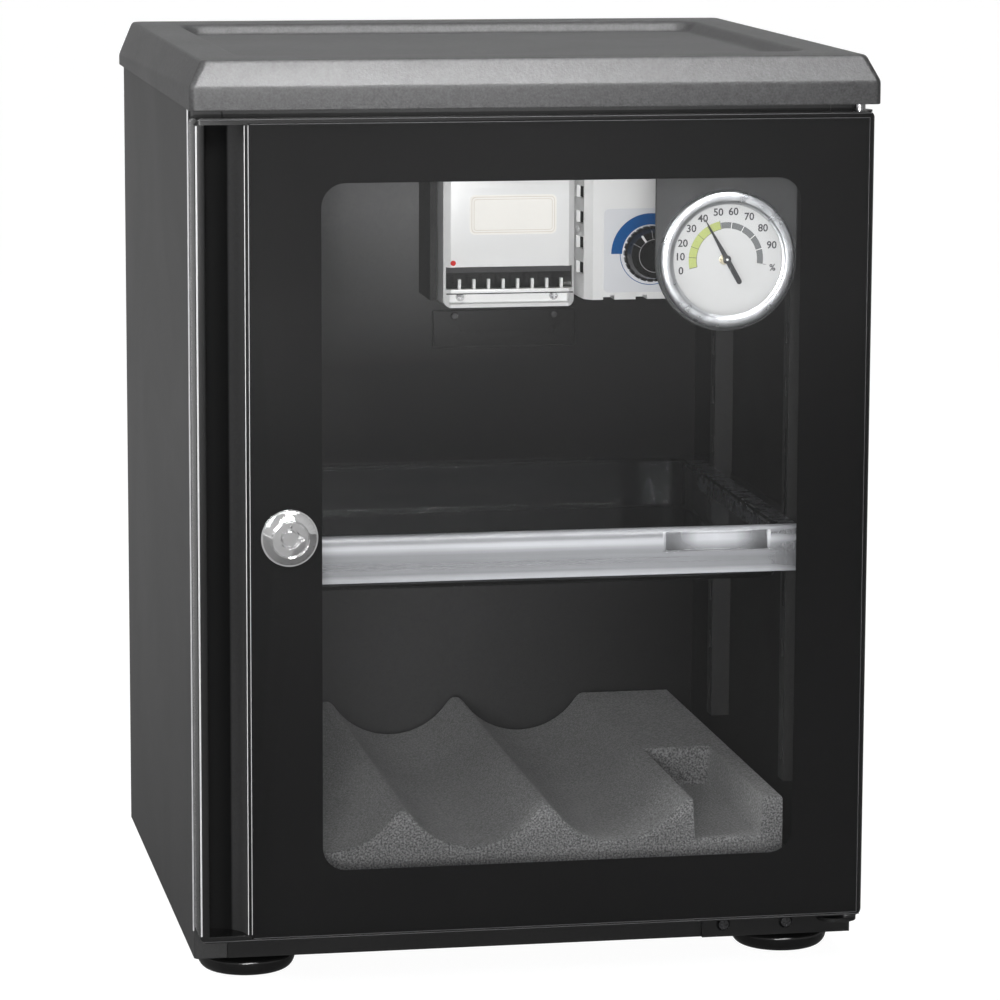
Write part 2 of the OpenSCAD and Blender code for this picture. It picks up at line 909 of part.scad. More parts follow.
// Cover of the drying unit: a shell with a ribbed outlet over a shelf that takes its screws
module dryer_cover() {
    rib_pitch = (dryer_w - 2 * dryer_slot_side - dryer_rib_t) / (dryer_ribs + 1);
    color("#dcdcdc")
        place() translate([dryer_x, dryer_front, dryer_z]) {
            difference() {
                intersection() {
                    linear_extrude(dryer_h)
                        dryer_plan(0);
                    translate([0, dryer_d, 0])
                        rotate([90, 0, 0])
                            linear_extrude(dryer_d + over)
                                round_rect(dryer_w, dryer_h, dryer_r);
                }
                translate([0, 0, dryer_slot_z + dryer_slot_h])
                    linear_extrude(dryer_h - dryer_slot_z - dryer_slot_h - dryer_t)
                        dryer_plan(dryer_t);
                // The outlet's mouth, open to the front above the lip
                translate([dryer_slot_side, -over, dryer_slot_z + dryer_lip_h])
                    cube([dryer_w - 2 * dryer_slot_side, dryer_rib_d + over + dryer_rib_t, dryer_slot_h]);
                // The screw shelf below the lip
                translate([dryer_slot_side / 2, -over, dryer_t])
                    cube([dryer_w - dryer_slot_side, dryer_shelf_d + over, dryer_slot_z - dryer_t]);
                for (x = [dryer_screw_side, dryer_w - dryer_screw_side])
                    translate([x, dryer_shelf_d - over, dryer_screw_up])
                        rotate([-90, 0, 0])
                            cylinder(h = dryer_d, r = dryer_screw_r / 2 + fit_gap);
                translate([dryer_lamp_in, -over, dryer_lamp_up])
                    rotate([-90, 0, 0])
                        cylinder(h = dryer_t + dryer_chamfer + 2 * over, r = dryer_lamp_r + fit_gap);
            }
            for (i = [1 : dryer_ribs])
                translate([dryer_slot_side + i * rib_pitch, dryer_chamfer, dryer_slot_z + dryer_lip_h])
                    cube([dryer_rib_t, dryer_rib_d + dryer_rib_t - dryer_chamfer, dryer_rib_h]);
        }
}

// Block of drying agent inside the cover, held on the rear wall
module dryer_core() {
    margin = dryer_t + dryer_chamfer;
    z0 = dryer_z + dryer_slot_z + dryer_slot_h;
    color("#b7a98f")
        place() span(dryer_x + margin, dryer_x + dryer_w - margin, dryer_front + margin + dryer_t, room_y1,
            z0, dryer_z + dryer_h - margin);
}

module dryer_lamp() {
    color("red")
        place() translate([dryer_x + dryer_lamp_in, dryer_front, dryer_z + dryer_lamp_up])
            rotate([-90, 0, 0]) {
                cylinder(h = dryer_t + dryer_chamfer, r = dryer_lamp_r);
                sphere(dryer_lamp_r);
            }
}

module dryer_label() {
    color("ivory")
        place() front_plate(dryer_x + dryer_label_in, dryer_front - label_t, dryer_z + dryer_label_up,
            dryer_label_w, dryer_label_h, dryer_label_r, label_t);
}

module dryer_screws() {
    color("silver")
        place() for (x = [dryer_screw_side, dryer_w - dryer_screw_side])
            translate([dryer_x + x, dryer_front + dryer_shelf_d, dryer_z + dryer_screw_up]) {
                cross_head(dryer_screw_r, dryer_screw_h);
                rotate([-90, 0, 0])
                    cylinder(h = dryer_d - dryer_shelf_d, r = dryer_screw_r / 2);
            }
}

// A cross-recessed screw head that stands forward of its seat
module cross_head(r, h) {
    slot_share = 0.28;
    difference() {
        rotate([90, 0, 0])
            cylinder(h = h, r1 = r, r2 = r * (1 - slot_share));
        for (turn = [0, 90])
            rotate([0, turn, 0])
                translate([-r * slot_share * 2, -h - over, -r * slot_share / 2])
                    cube([r * slot_share * 4, h / 2 + over, r * slot_share]);
    }
}

// Small plate that covers the spare opening below the drying unit
module blanking_plate() {
    color("#333334")
        place() translate([blank_x, room_y1 - blank_t, blank_z])
            difference() {
                cube([blank_w, blank_t, blank_h]);
                for (x = [blank_dimple_in, blank_w - blank_dimple_in])
                    translate([x, -over, blank_dimple_up])
                        rotate([-90, 0, 0])
                            cylinder(h = over + blank_dimple_depth, r = blank_dimple_r);
            }
}

module blanking_screws() {
    color("silver")
        place() for (x = [blank_screw_in, blank_w - blank_screw_in])
            translate([blank_x + x, room_y1 - blank_t, blank_z + blank_h - blank_screw_down])
                cross_head(blank_screw_r, blank_screw_h);
}

// Outline of the control's case seen from above: the sides lean in towards the front
module control_plan(inset) {
    polygon([[-control_taper + inset, control_d], [-control_taper / 2 + inset, control_r + inset],
        [inset, inset], [control_w - inset, inset],
        [control_w - inset + control_taper / 2, control_r + inset],
        [control_w + control_taper - inset, control_d]]);
}

// Case of the humidity control: a vented shell with notches along its lower edge
module control_case() {
    color("#e2e2e2")
        place() translate([control_x, control_front, control_z])
            difference() {
                intersection() {
                    linear_extrude(control_h)
                        control_plan(0);
                    translate([-control_taper, control_d, 0])
                        rotate([90, 0, 0])
                            linear_extrude(control_d + over)
                                round_rect(control_w + 2 * control_taper, control_h, control_r);
                }
                translate([0, 0, control_t])
                    linear_extrude(control_h - 2 * control_t)
                        control_plan(control_t);
                for (i = [0 : control_vents - 1])
                    translate([-control_taper - over, control_vent_d / 2,
                            control_vent_up + i * control_vent_pitch])
                        cube([control_w + 2 * control_taper + 2 * over, control_vent_d, control_vent_h]);
                for (i = [0 : control_notches - 1])
                    translate([control_notch_in + i * control_notch_pitch, -over, -over])
                        cube([control_notch_w, control_vent_d + over, control_notch_depth + over]);
                translate([knob_in, -over, knob_up])
                    rotate([-90, 0, 0])
                        cylinder(h = control_t + 2 * over, r = control_pot_neck_r + fit_gap);
            }
}

// Printed sheet on the control's face, with a hole for the knob's shaft
module control_overlay() {
    color("#c9cbd0")
        place() difference() {
            front_plate(control_x + control_sheet_in, control_front - label_t, control_z + control_sheet_up,
                control_sheet_w, control_sheet_h, control_sheet_r, label_t);
            bar_y(knob_x, control_front - label_t - over, control_front + over, knob_z,
                control_pot_neck_r + fit_gap);
        }
}

// Rotary resistor behind the face, whose neck holds the knob's shaft
module control_pot() {
    color("#3f6b4a")
        place() difference() {
            union() {
                bar_y(knob_x, control_front + control_t, control_front + control_t + control_pot_d, knob_z,
                    control_pot_r);
                bar_y(knob_x, control_front - label_t, control_front + control_t, knob_z,
                    control_pot_neck_r);
            }
            bar_y(knob_x, control_front - over, control_front + knob_shaft_in + free_gap, knob_z,
                knob_shaft_r + run_gap);
        }
}

// Knob with a knurled skirt, a raised disc and a pointer bar
module control_knob() {
    color(black)
        place() translate([knob_x, control_front - label_t - free_gap, knob_z])
            rotate([90, 0, 0])
                rotate([0, 0, knob_turn])
                    difference() {
                        union() {
                            cylinder(h = knob_skirt_h, r = knob_r);
                            cylinder(h = knob_h - knob_skirt_h, r1 = knob_r, r2 = knob_top_r);
                            cylinder(h = knob_h, r = knob_disc_r);
                            translate([-knob_bar_w / 2, 0, 0])
                                cube([knob_bar_w, knob_top_r, knob_h]);
                        }
                        for (i = [0 : knob_teeth - 1])
                            rotate([0, 0, i * 360 / knob_teeth])
                                translate([knob_r, 0, -over])
                                    cylinder(h = knob_h + over, r = knob_tooth_r, $fn = 16);
                        translate([0, 0, -over])
                            cylinder(h = knob_h / 2 + over, r = knob_shaft_r);
                    }
}

module control_shaft() {
    color("silver")
        place() bar_y(knob_x, control_front - label_t - free_gap - knob_h / 2, control_front + knob_shaft_in,
            knob_z, knob_shaft_r);
}

// Power socket in the rear wall: a flanged cup with a centre contact
module power_inlet() {
    color(black)
        place() difference() {
            union() {
                bar_y(inlet_x, room_y1 + skin_t, rear_y, inlet_z, inlet_r);
                bar_y(inlet_x, rear_y, rear_y + inlet_flange_h, inlet_z, inlet_flange_r);
            }
            difference() {
                bar_y(inlet_x, rear_y + inlet_flange_h - inlet_depth, rear_y + inlet_flange_h + over, inlet_z,
                    inlet_bore_r);
                bar_y(inlet_x, rear_y + inlet_flange_h - inlet_depth - over, rear_y, inlet_z, inlet_pin_r);
            }
        }
}

// Louvred cover over the drying unit's rear outlet
module rear_vent_cover() {
    pitch = (vent_h - 2 * vent_edge) / vent_slats;
    color(black)
        place() difference() {
            front_plate(vent_x, rear_y, vent_z, vent_w, vent_h, vent_r, vent_proud);
            front_plate(vent_x + vent_edge - vent_t, rear_y - over, vent_z + vent_edge - vent_t,
                vent_w - 2 * vent_edge + 2 * vent_t, vent_h - 2 * vent_edge + 2 * vent_t, vent_t,
                vent_proud - vent_t + over);
            for (i = [0 : vent_slats - 1])
                span(vent_x + vent_edge, vent_x + vent_w - vent_edge, rear_y, rear_y + vent_proud + over,
                    vent_z + vent_edge + (i + 0.5) * pitch - vent_slat_h / 2,
                    vent_z + vent_edge + (i + 0.5) * pitch + vent_slat_h / 2);
            vent_screw_places()
                translate([0, -vent_screw_h, 0])
                    rotate([-90, 0, 0])
                        cylinder(h = vent_screw_h + over, r = vent_screw_r + free_gap);
        }
}

module vent_screw_places() {
    for (x = [vent_screw_in, vent_w - vent_screw_in], z = [vent_screw_in, vent_h - vent_screw_in])
        translate([vent_x + x, rear_y + vent_proud, vent_z + z])
            children();
}

module rear_vent_screws() {
    color("silver")
        place() vent_screw_places()
            translate([0, -vent_screw_h, 0])
                rotate([180, 0, 0])
                    cross_head(vent_screw_r, vent_screw_h);
}

// Plan of a hinge plate, with a round nose towards the front
module hinge_nose(depth) {
    x0 = cabinet_w - hinge_plate_w;
    y0 = hinge_y - hinge_round;
    translate([x0, y0]) {
        translate([hinge_round, 0])
            square([hinge_plate_w - 2 * hinge_round, depth - y0]);
        translate([0, hinge_round])
            square([hinge_plate_w, depth - y0 - hinge_round]);
        for (x = [hinge_round, hinge_plate_w - hinge_round])
            translate([x, hinge_round])
                circle(hinge_round);
    }
}

// Upper hinge plate: it lies on the steel deck under the lid and reaches over the door
module hinge_plate_top() {
    color("silver")
        place() difference() {
            translate([0, 0, body_top])
                linear_extrude(hinge_plate_t)
                    hinge_nose(body_y + hinge_top_back);
            translate([hinge_x, hinge_y, body_top - over])
                cylinder(h = hinge_plate_t + 2 * over, r = hinge_pin_r + fit_gap);
        }
}

// Lower hinge plate: an angle whose upright leg is screwed to the body's front
module hinge_plate_bottom() {
    color(steel)
        place() difference() {
            union() {
                span(cabinet_w - hinge_low_w, cabinet_w, body_y - hinge_plate_t, body_y, body_z,
                    -hinge_low_lip);
                translate([0, 0, -hinge_low_drop - hinge_plate_t])
                    linear_extrude(hinge_plate_t)
                        hinge_nose(body_y);
            }
            translate([hinge_x, hinge_y, -hinge_low_drop - hinge_plate_t - over])
                cylinder(h = hinge_plate_t + 2 * over, r = hinge_pin_r + fit_gap);
            for (x = hinge_screw_places)
                bar_y(x, body_y - hinge_plate_t - over, body_y + over, hinge_low_screw_z,
                    hinge_screw_r + fit_gap);
        }
}

// Two pins, each fixed in its plate and reaching into the door's bush
module hinge_pins() {
    color("silver")
        place() {
            translate([hinge_x, hinge_y, door_h - hinge_pin_reach])
                cylinder(h = body_top + hinge_plate_t - door_h + hinge_pin_reach, r = hinge_pin_r);
            translate([hinge_x, hinge_y, -hinge_low_drop - hinge_plate_t])
                cylinder(h = hinge_low_drop + hinge_plate_t + hinge_pin_reach, r = hinge_pin_r);
        }
}

module hinge_screws() {
    color("silver")
        place() for (x = hinge_screw_places)
            translate([x, body_y - hinge_plate_t, hinge_low_screw_z]) {
                cross_head(hinge_head_r, hinge_head_h);
                rotate([-90, 0, 0])
                    cylinder(h = hinge_plate_t + skin_t + hinge_head_r, r = hinge_screw_r);
            }
}

// Moulded edging of the slot that takes the lock's cam
module lock_keeper() {
    y0 = lock_cam_y - keeper_play;
    y1 = lock_cam_y + keeper_d;
    color(black)
        place() difference() {
            union() {
                span(room_x0 - skin_t, room_x0, y0, y1, keeper_z0, keeper_z1);
                span(room_x0, room_x0 + keeper_t, y0, y1 + keeper_t, keeper_z0 - keeper_t,
                    keeper_z1 + keeper_t);
            }
            span(room_x0 - skin_t - over, room_x0 + keeper_t + over, y0 - over, y1 - keeper_t,
                keeper_z0 + keeper_t, keeper_z1 - keeper_t);
        }
}

// Outline of the door seen from above, with round upright edges
module door_block(x0, x1, z0, z1) {
    intersection() {
        translate([0, 0, z0])
            linear_extrude(z1 - z0)
                round_rect(cabinet_w, door_t, door_edge_r);
        span(x0, x1, -over, door_t + over, z0 - over, z1 + over);
    }
}

// The two places of the hinge bushes in the door, each with its mouth outwards
module bush_places() {
    translate([hinge_x, hinge_y, door_h])
        mirror([0, 0, 1])
            children();
    translate([hinge_x, hinge_y, 0])
        children();
}

// Door frame: a thick moulded frame with a rebate for the glass and a groove for the gasket
module door_frame() {
    color("#2a2a2b")
        place() difference() {
            intersection() {
                door_block(0, cabinet_w, 0, door_h);
                translate([0, door_t + over, 0])
                    rotate([90, 0, 0])
                        linear_extrude(door_t + 2 * over)
                            round_rect(cabinet_w, door_h, door_corner_r);
            }
            span(glass_x0 - glass_play, glass_x1 + glass_play, -over, ledge_y, glass_z0 - glass_play,
                glass_z1 + glass_play);
            front_plate(opening_x0, -over, opening_z0, opening_x1 - opening_x0, opening_z1 - opening_z0,
                opening_r, door_t + 2 * over);
            span(-over, grip_w, -over, door_t + over, grip_end_h, door_h - grip_end_h);
            bar_y(lock_in, -over, door_t + over, lock_up, lock_barrel_r + lock_hole_play);
            bar_y(lock_in, lock_nut_y, door_t + over, lock_up, lock_pocket_r);
            translate([0, door_t - gasket_groove, 0])
                gasket_ring(gasket_groove + over);
            bush_places() {
                translate([0, 0, -over])
                    cylinder(h = hinge_bush_h + over, r = hinge_bush_r);
                translate([0, 0, -over])
                    cylinder(h = hinge_bush_rim_h + over, r = hinge_bush_rim_r);
            }
        }
}

// Ring of the gasket's groove round the back of the door
module gasket_ring(t) {
    x0 = gasket_in;
    z0 = gasket_in / 2;
    w = cabinet_w - 2 * gasket_in;
    h = door_h - gasket_top - z0;
    difference() {
        front_plate(x0, 0, z0, w, h, gasket_in, t);
        front_plate(x0 + gasket_w, -over, z0 + gasket_w, w - 2 * gasket_w, h - 2 * gasket_w, gasket_in / 2,
            t + 2 * over);
    }
}

// Finger grip: an extruded strip with a scooped channel behind an outer lip.
// The scoop runs as a quarter of an ellipse from the channel's floor out to the front.
module grip_channel() {
    lip_in = grip_lip_t + grip_bottom_r;
    color("#232324")
        place() difference() {
            door_block(0, grip_w, grip_end_h, door_h - grip_end_h);
            translate([0, 0, grip_end_h - over])
                linear_extrude(door_h - 2 * grip_end_h + 2 * over)
                    polygon(concat([[grip_lip_t, -over]],
                        [for (i = [0 : 4]) [lip_in - grip_bottom_r * cos(i * 90 / 4),
                            grip_depth - grip_bottom_r * (1 - sin(i * 90 / 4))]],
                        [for (i = [0 : grip_steps]) [lip_in + (grip_scoop_w - grip_bottom_r)
                            * sin(i * 90 / grip_steps), grip_depth * cos(i * 90 / grip_steps)]],
                        [[grip_lip_t + grip_scoop_w, -over]]));
            translate([0, door_t - gasket_groove, 0])
                gasket_ring(gasket_groove + over);
        }
}

// Glass with a hole for the lock
module door_glass() {
    color("#9fb0b0", 0.35)
        place() difference() {
            span(glass_x0, glass_x1, glass_setback, glass_back, glass_z0, glass_z1);
            bar_y(lock_in, -over, ledge_y + over, lock_up, lock_barrel_r + lock_hole_play);
        }
}

// Black border printed on the back of the glass
module glass_border() {
    color(black)
        place() difference() {
            span(glass_x0, glass_x1, glass_back, ledge_y, glass_z0, glass_z1);
            front_plate(window_x0, glass_back - over, window_z0, window_x1 - window_x0,
                window_z1 - window_z0, window_r, print_t + 2 * over);
            bar_y(lock_in, -over, ledge_y + over, lock_up, lock_barrel_r + lock_hole_play);
        }
}

// Gasket pressed into the door's groove, with a bead that meets the body's flange
module door_gasket() {
    color("#3b3b3c")
        place() translate([0, door_t - gasket_groove, 0])
            gasket_ring(gasket_groove + gasket_reach);
}

module hinge_bushes() {
    color("#5f5f60")
        place() bush_places()
            difference() {
                union() {
                    cylinder(h = hinge_bush_h, r = hinge_bush_r);
                    cylinder(h = hinge_bush_rim_h, r = hinge_bush_rim_r);
                }
                translate([0, 0, -over])
                    cylinder(h = hinge_bush_h - hinge_bush_rim_h + over, r = hinge_pin_r + run_gap);
            }
}

// Lock body: a revolved bezel and barrel with a bore for the plug and two key notches
module lock_body() {
    color("silver")
        place() translate([lock_in, 0, lock_up])
            difference() {
                rotate([-90, 0, 0])
                    rotate_extrude()
                        polygon([[0, lock_face_y], [lock_flat_r - lock_step, lock_face_y],
                            [lock_flat_r - lock_step, lock_face_y + lock_step],
                            [lock_flat_r, lock_face_y + lock_step], [lock_flat_r + lock_step, lock_face_y],
                            [lock_bezel_r, glass_setback - lock_flange_h - lock_step],
                            [lock_bezel_r, glass_setback - lock_flange_h],
                            [lock_flange_r, glass_setback - lock_flange_h], [lock_flange_r, glass_setback],
                            [lock_barrel_r, glass_setback], [lock_barrel_r, lock_barrel_back],
                            [0, lock_barrel_back]]);
                rotate([-90, 0, 0])
                    translate([0, 0, lock_face_y - over])
                        cylinder(h = lock_barrel_back - lock_face_y + 2 * over, r = lock_plug_r + run_gap);
                for (turn = [0, 90])
                    rotate([0, turn, 0])
                        translate([-lock_notch_w / 2, lock_face_y - over, 0])
                            cube([lock_notch_w, lock_key_depth + over, lock_plug_r + lock_notch_l]);
            }
}

// Hexagon nut that clamps the lock from inside the door
module lock_nut() {
    color("silver")
        place() difference() {
            translate([lock_in, lock_nut_y, lock_up])
                rotate([-90, 0, 0])
                    cylinder(h = lock_nut_h, r = lock_nut_af / sqrt(3), $fn = 6);
            bar_y(lock_in, lock_nut_y - over, lock_nut_y + lock_nut_h + over, lock_up, lock_barrel_r);
        }
}

// Tubular plug: a pin in the middle of the ring-shaped keyway, and a square tail
module lock_plug() {
    back = lock_cam_y + lock_cam_t;
    color("silver")
        place() translate([lock_in, 0, lock_up])
            rotate([-90, 0, 0])
                difference() {
                    union() {
                        translate([0, 0, lock_face_y + lock_step])
                            cylinder(h = lock_key_depth, r = lock_key_r);
                        translate([0, 0, lock_face_y + lock_key_depth])
                            cylinder(h = lock_cam_y - lock_face_y - lock_key_depth, r = lock_plug_r);
                        translate([-lock_square / 2, -lock_square / 2, lock_cam_y - over])
                            cube([lock_square, lock_square, lock_cam_t + over]);
                    }
                    translate([0, 0, back - lock_key_depth])
                        cylinder(h = lock_key_depth + over, r = lock_screw_shank_r + fit_gap);
                }
}

// Cam that turns behind the body's flange: a flat bar with round ends
module lock_cam() {
    color("silver")
        place() translate([lock_in, lock_cam_y, lock_up])
            difference() {
                translate([-lock_cam_w / 2, lock_cam_t, -lock_cam_l])
                    rotate([90, 0, 0])
                        linear_extrude(lock_cam_t)
                            round_rect(lock_cam_w, lock_cam_l + lock_cam_w / 2, lock_cam_w / 2 - lock_step);
                translate([-lock_square / 2, -over, -lock_square / 2])
                    cube([lock_square, lock_cam_t + 2 * over, lock_square]);
            }
}

module lock_cam_screw() {
    color("silver")
        place() translate([lock_in, lock_cam_y + lock_cam_t, lock_up])
            rotate([-90, 0, 0]) {
                cylinder(h = lock_screw_h, r1 = lock_screw_r, r2 = lock_screw_r - lock_step);
                translate([0, 0, -lock_key_depth])
                    cylinder(h = lock_key_depth, r = lock_screw_shank_r);
            }
}

// Plate that holds the hygrometer: straight sides, a round lower end and a foot under the frame
module hygrometer_holder() {
    r = hygro_r + hygro_plate_margin;
    color("#3c3c3d")
        place() difference() {
            union() {
                bar_y(hygro_x, hygro_seat_y, hygro_seat_y + hygro_plate_t, hygro_z, r);
                span(hygro_x - r, hygro_x + r, hygro_seat_y, hygro_seat_y + hygro_plate_t, hygro_z,
                    opening_z1);
                span(hygro_x - r, hygro_x + r, hygro_seat_y, hygro_seat_y + hygro_foot_d,
                    opening_z1 - hygro_plate_t, opening_z1);
            }
            bar_y(hygro_x, hygro_seat_y - over, hygro_seat_y + hygro_plate_t + over, hygro_z,
                hygro_case_r + fit_gap);
        }
}

// Case of the hygrometer: a cup with a boss that carries the spindle
module hygrometer_case() {
    back = hygro_front + hygro_d;
    boss_y = hygro_dial_y + hygro_dial_t + hygro_boss_gap;
    color("#58585a")
        place() difference() {
            union() {
                difference() {
                    bar_y(hygro_x, hygro_dial_y, back, hygro_z, hygro_case_r);
                    bar_y(hygro_x, hygro_dial_y - over, hygro_dial_y + hygro_dial_t, hygro_z,
                        hygro_case_r - hygro_wall + hygro_seat_step);
                    bar_y(hygro_x, hygro_dial_y, back - hygro_wall, hygro_z, hygro_case_r - hygro_wall);
                }
                bar_y(hygro_x, boss_y, back, hygro_z, hygro_boss_r);
            }
            bar_y(hygro_x, boss_y - over, spindle_y + free_gap, hygro_z, spindle_r + run_gap);
        }
}

// Domed ring round the dial, revolved from an arc, and rolled over the case
module hygrometer_bezel() {
    ring_w = hygro_r - hygro_dial_r;
    color("silver")
        place() translate([hygro_x, hygro_front, hygro_z])
            rotate([-90, 0, 0])
                rotate_extrude($fn = 96)
                    polygon(concat(
                        [for (i = [0 : dome_steps]) let (a = 180 * i / dome_steps)
                            [hygro_dial_r + ring_w / 2 - ring_w / 2 * cos(a),
                            hygro_bezel_h * hygro_dome_share * (1 - sin(a))]],
                        [[hygro_r, hygro_bezel_h], [hygro_case_r, hygro_bezel_h],
                            [hygro_case_r, hygro_dial_y - hygro_front],
                            [hygro_glass_r, hygro_dial_y - hygro_front], [hygro_glass_r, hygro_glass_y],
                            [hygro_dial_r, hygro_glass_y]]));
}

module hygrometer_dial() {
    color("#f3f1f0")
        place() difference() {
            bar_y(hygro_x, hygro_dial_y, hygro_dial_y + hygro_dial_t, hygro_z,
                hygro_case_r - hygro_wall + hygro_seat_step - fit_gap);
            bar_y(hygro_x, hygro_dial_y - over, hygro_dial_y + hygro_dial_t + over, hygro_z,
                spindle_r + free_gap);
        }
}

module hygrometer_crystal() {
    color("white", 0.3)
        place() bar_y(hygro_x, hygro_front + hygro_glass_y, hygro_front + hygro_glass_y + hygro_crystal_t,
            hygro_z, hygro_glass_r - fit_gap);
}

// Needle with its hub, its round tail and the spindle behind the dial
module needle() {
    color("#30343c")
        place() translate([hygro_x, needle_y, hygro_z]) {
            rotate([90, 0, 0])
                rotate([0, 0, needle_angle])
                    translate([0, 0, -needle_t]) {
                        linear_extrude(needle_t) {
                            polygon([[-needle_tail_l, -needle_tail_r], [0, -needle_root_w],
                                [needle_l, -needle_tip_w / 2], [needle_l, needle_tip_w / 2],
                                [0, needle_root_w], [-needle_tail_l, needle_tail_r]]);
                            translate([-needle_tail_l, 0])
                                circle(needle_tail_r);
                        }
                        cylinder(h = needle_t, r = needle_hub_r);
                    }
            rotate([-90, 0, 0])
                cylinder(h = spindle_y - needle_y, r = spindle_r);
        }
}

// Clear tray: a basin hung from a rim, with a tall lip across the front and a pull recess
module shelf_tray() {
    basin_x0 = room_x0 + tray_basin_side;
    basin_w = cabinet_w - 2 * basin_x0;
    basin_y0 = tray_front + tray_basin_front;
    basin_d = tray_d - tray_basin_front - tray_basin_rear;
    basin_z0 = tray_up - tray_basin_h;
    rim_x0 = room_x0 + tray_rim_side;
    lip_x0 = room_x0 + tray_lip_side;
    lip_w = cabinet_w - 2 * lip_x0;
    pull_x0 = cabinet_w - room_x0 - tray_pull_right - tray_pull_w;
    color("#cfd6d8", 0.4)
        place() difference() {
            union() {
                translate([basin_x0, basin_y0, basin_z0])
                    linear_extrude(tray_basin_h)
                        round_rect(basin_w, basin_d, tray_basin_r);
                span(rim_x0, cabinet_w - rim_x0, tray_front, tray_front + tray_d, tray_up - tray_t, tray_up);
                front_plate(lip_x0, tray_front, tray_up - tray_lip_h, lip_w, tray_lip_h, tray_lip_r,
                    tray_lip_t);
            }
            translate([basin_x0 + tray_t, basin_y0 + tray_t, basin_z0 + tray_t])
                linear_extrude(tray_basin_h)
                    round_rect(basin_w - 2 * tray_t, basin_d - 2 * tray_t, tray_basin_r - tray_t);
            front_plate(pull_x0, tray_front - over, tray_up - tray_lip_h + tray_pull_up, tray_pull_w,
                tray_pull_h, tray_lip_r, over + tray_pull_t);
        }
}

side_panel_left();
side_panel_right();
back_panel();
bottom_pan();
top_deck();
inner_side_left();
inner_side_right();
inner_back();
inner_floor();
inner_ceiling();
top_cover();
feet();
foot_screws();
shelf_rails_left();
shelf_rails_right();
tray_runner_left();
tray_runner_right();
foam_insert();
dryer_bracket();
dryer_cover();
dryer_core();
dryer_lamp();
dryer_label();
dryer_screws();
blanking_plate();
blanking_screws();
control_case();
control_overlay();
control_pot();
power_inlet();
rear_vent_cover();
rear_vent_screws();
hinge_plate_top();
hinge_plate_bottom();
hinge_pins();
hinge_screws();
lock_keeper();
door_frame();
grip_channel();
door_glass();
glass_border();
door_gasket();
hinge_bushes();
lock_body();
lock_nut();
hygrometer_holder();
hygrometer_case();
hygrometer_bezel();
hygrometer_dial();
hygrometer_crystal();
lock_plug();
lock_cam();
lock_cam_screw();
needle();
control_knob();
control_shaft();
shelf_tray();
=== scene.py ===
import json
from math import cos, pi, radians, sin

import bmesh
import bpy
import numpy as np
from mathutils import Matrix


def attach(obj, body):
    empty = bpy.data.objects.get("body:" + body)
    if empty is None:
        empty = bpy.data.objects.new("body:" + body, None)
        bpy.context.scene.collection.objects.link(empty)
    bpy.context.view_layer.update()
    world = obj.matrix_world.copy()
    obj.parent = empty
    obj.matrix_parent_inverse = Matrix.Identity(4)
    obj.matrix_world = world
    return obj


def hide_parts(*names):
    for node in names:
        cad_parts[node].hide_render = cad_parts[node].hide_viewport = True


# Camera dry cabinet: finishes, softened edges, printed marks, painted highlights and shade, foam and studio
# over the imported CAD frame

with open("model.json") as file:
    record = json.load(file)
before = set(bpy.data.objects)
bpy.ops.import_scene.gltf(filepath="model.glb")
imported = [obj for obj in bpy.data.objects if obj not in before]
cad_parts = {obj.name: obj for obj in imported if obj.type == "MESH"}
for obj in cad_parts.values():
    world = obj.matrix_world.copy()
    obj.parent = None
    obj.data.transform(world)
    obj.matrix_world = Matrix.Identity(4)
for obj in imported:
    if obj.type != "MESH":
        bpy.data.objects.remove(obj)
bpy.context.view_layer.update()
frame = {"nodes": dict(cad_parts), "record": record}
bodyOf = {node: body for body, nodes in frame["record"]["behaviour"]["bodies"].items() for node in nodes}
print("frame loaded,", len(frame["nodes"]), "nodes")

doorCorner = np.array([-170.0, -168.0, 27.0])  # the door's lower left front corner, in mm


def toFrame(points):
    # Millimetres from the door's corner become metres in the cabinet's frame
    return (np.asarray(points, float) + doorCorner) / 1000.0


def gridFaces(rows, columns, ringRows=False, ringColumns=False):
    # Quads between the points of a grid that may close on itself either way
    i, j = np.meshgrid(np.arange(rows if ringRows else rows - 1),
                       np.arange(columns if ringColumns else columns - 1), indexing="ij")
    i, j = i.ravel(), j.ravel()
    nextI, nextJ = (i + 1) % rows, (j + 1) % columns
    return np.column_stack([i * columns + j, nextI * columns + j, nextI * columns + nextJ,
                            i * columns + nextJ])


def skin(count, width):
    # A tube through rings of width points, closed by a face at both ends
    ends = [list(range(width)), list(range((count - 1) * width, count * width))]
    return gridFaces(count, width, ringColumns=True).tolist() + ends


def roundPath(points, radii, steps=4, closed=False):
    # Each inner corner becomes a parabola that starts and ends its radius away from the corner
    points = [np.asarray(p, float) for p in points]
    count = len(points)
    radii = list(radii) if isinstance(radii, (list, tuple)) else [radii] * count
    made = []
    for k, corner in enumerate(points):
        if radii[k] <= 0 or (not closed and k in (0, count - 1)):
            made.append(corner[None])
            continue
        legs = []
        for other in (points[k - 1], points[(k + 1) % count]):
            away = other - corner
            length = np.linalg.norm(away)
            legs.append(corner + away / length * min(radii[k], 0.48 * length))
        t = np.linspace(0, 1, steps + 1)[:, None]
        made.append((1 - t) ** 2 * legs[0] + 2 * t * (1 - t) * corner + t ** 2 * legs[1])
    return np.concatenate(made)


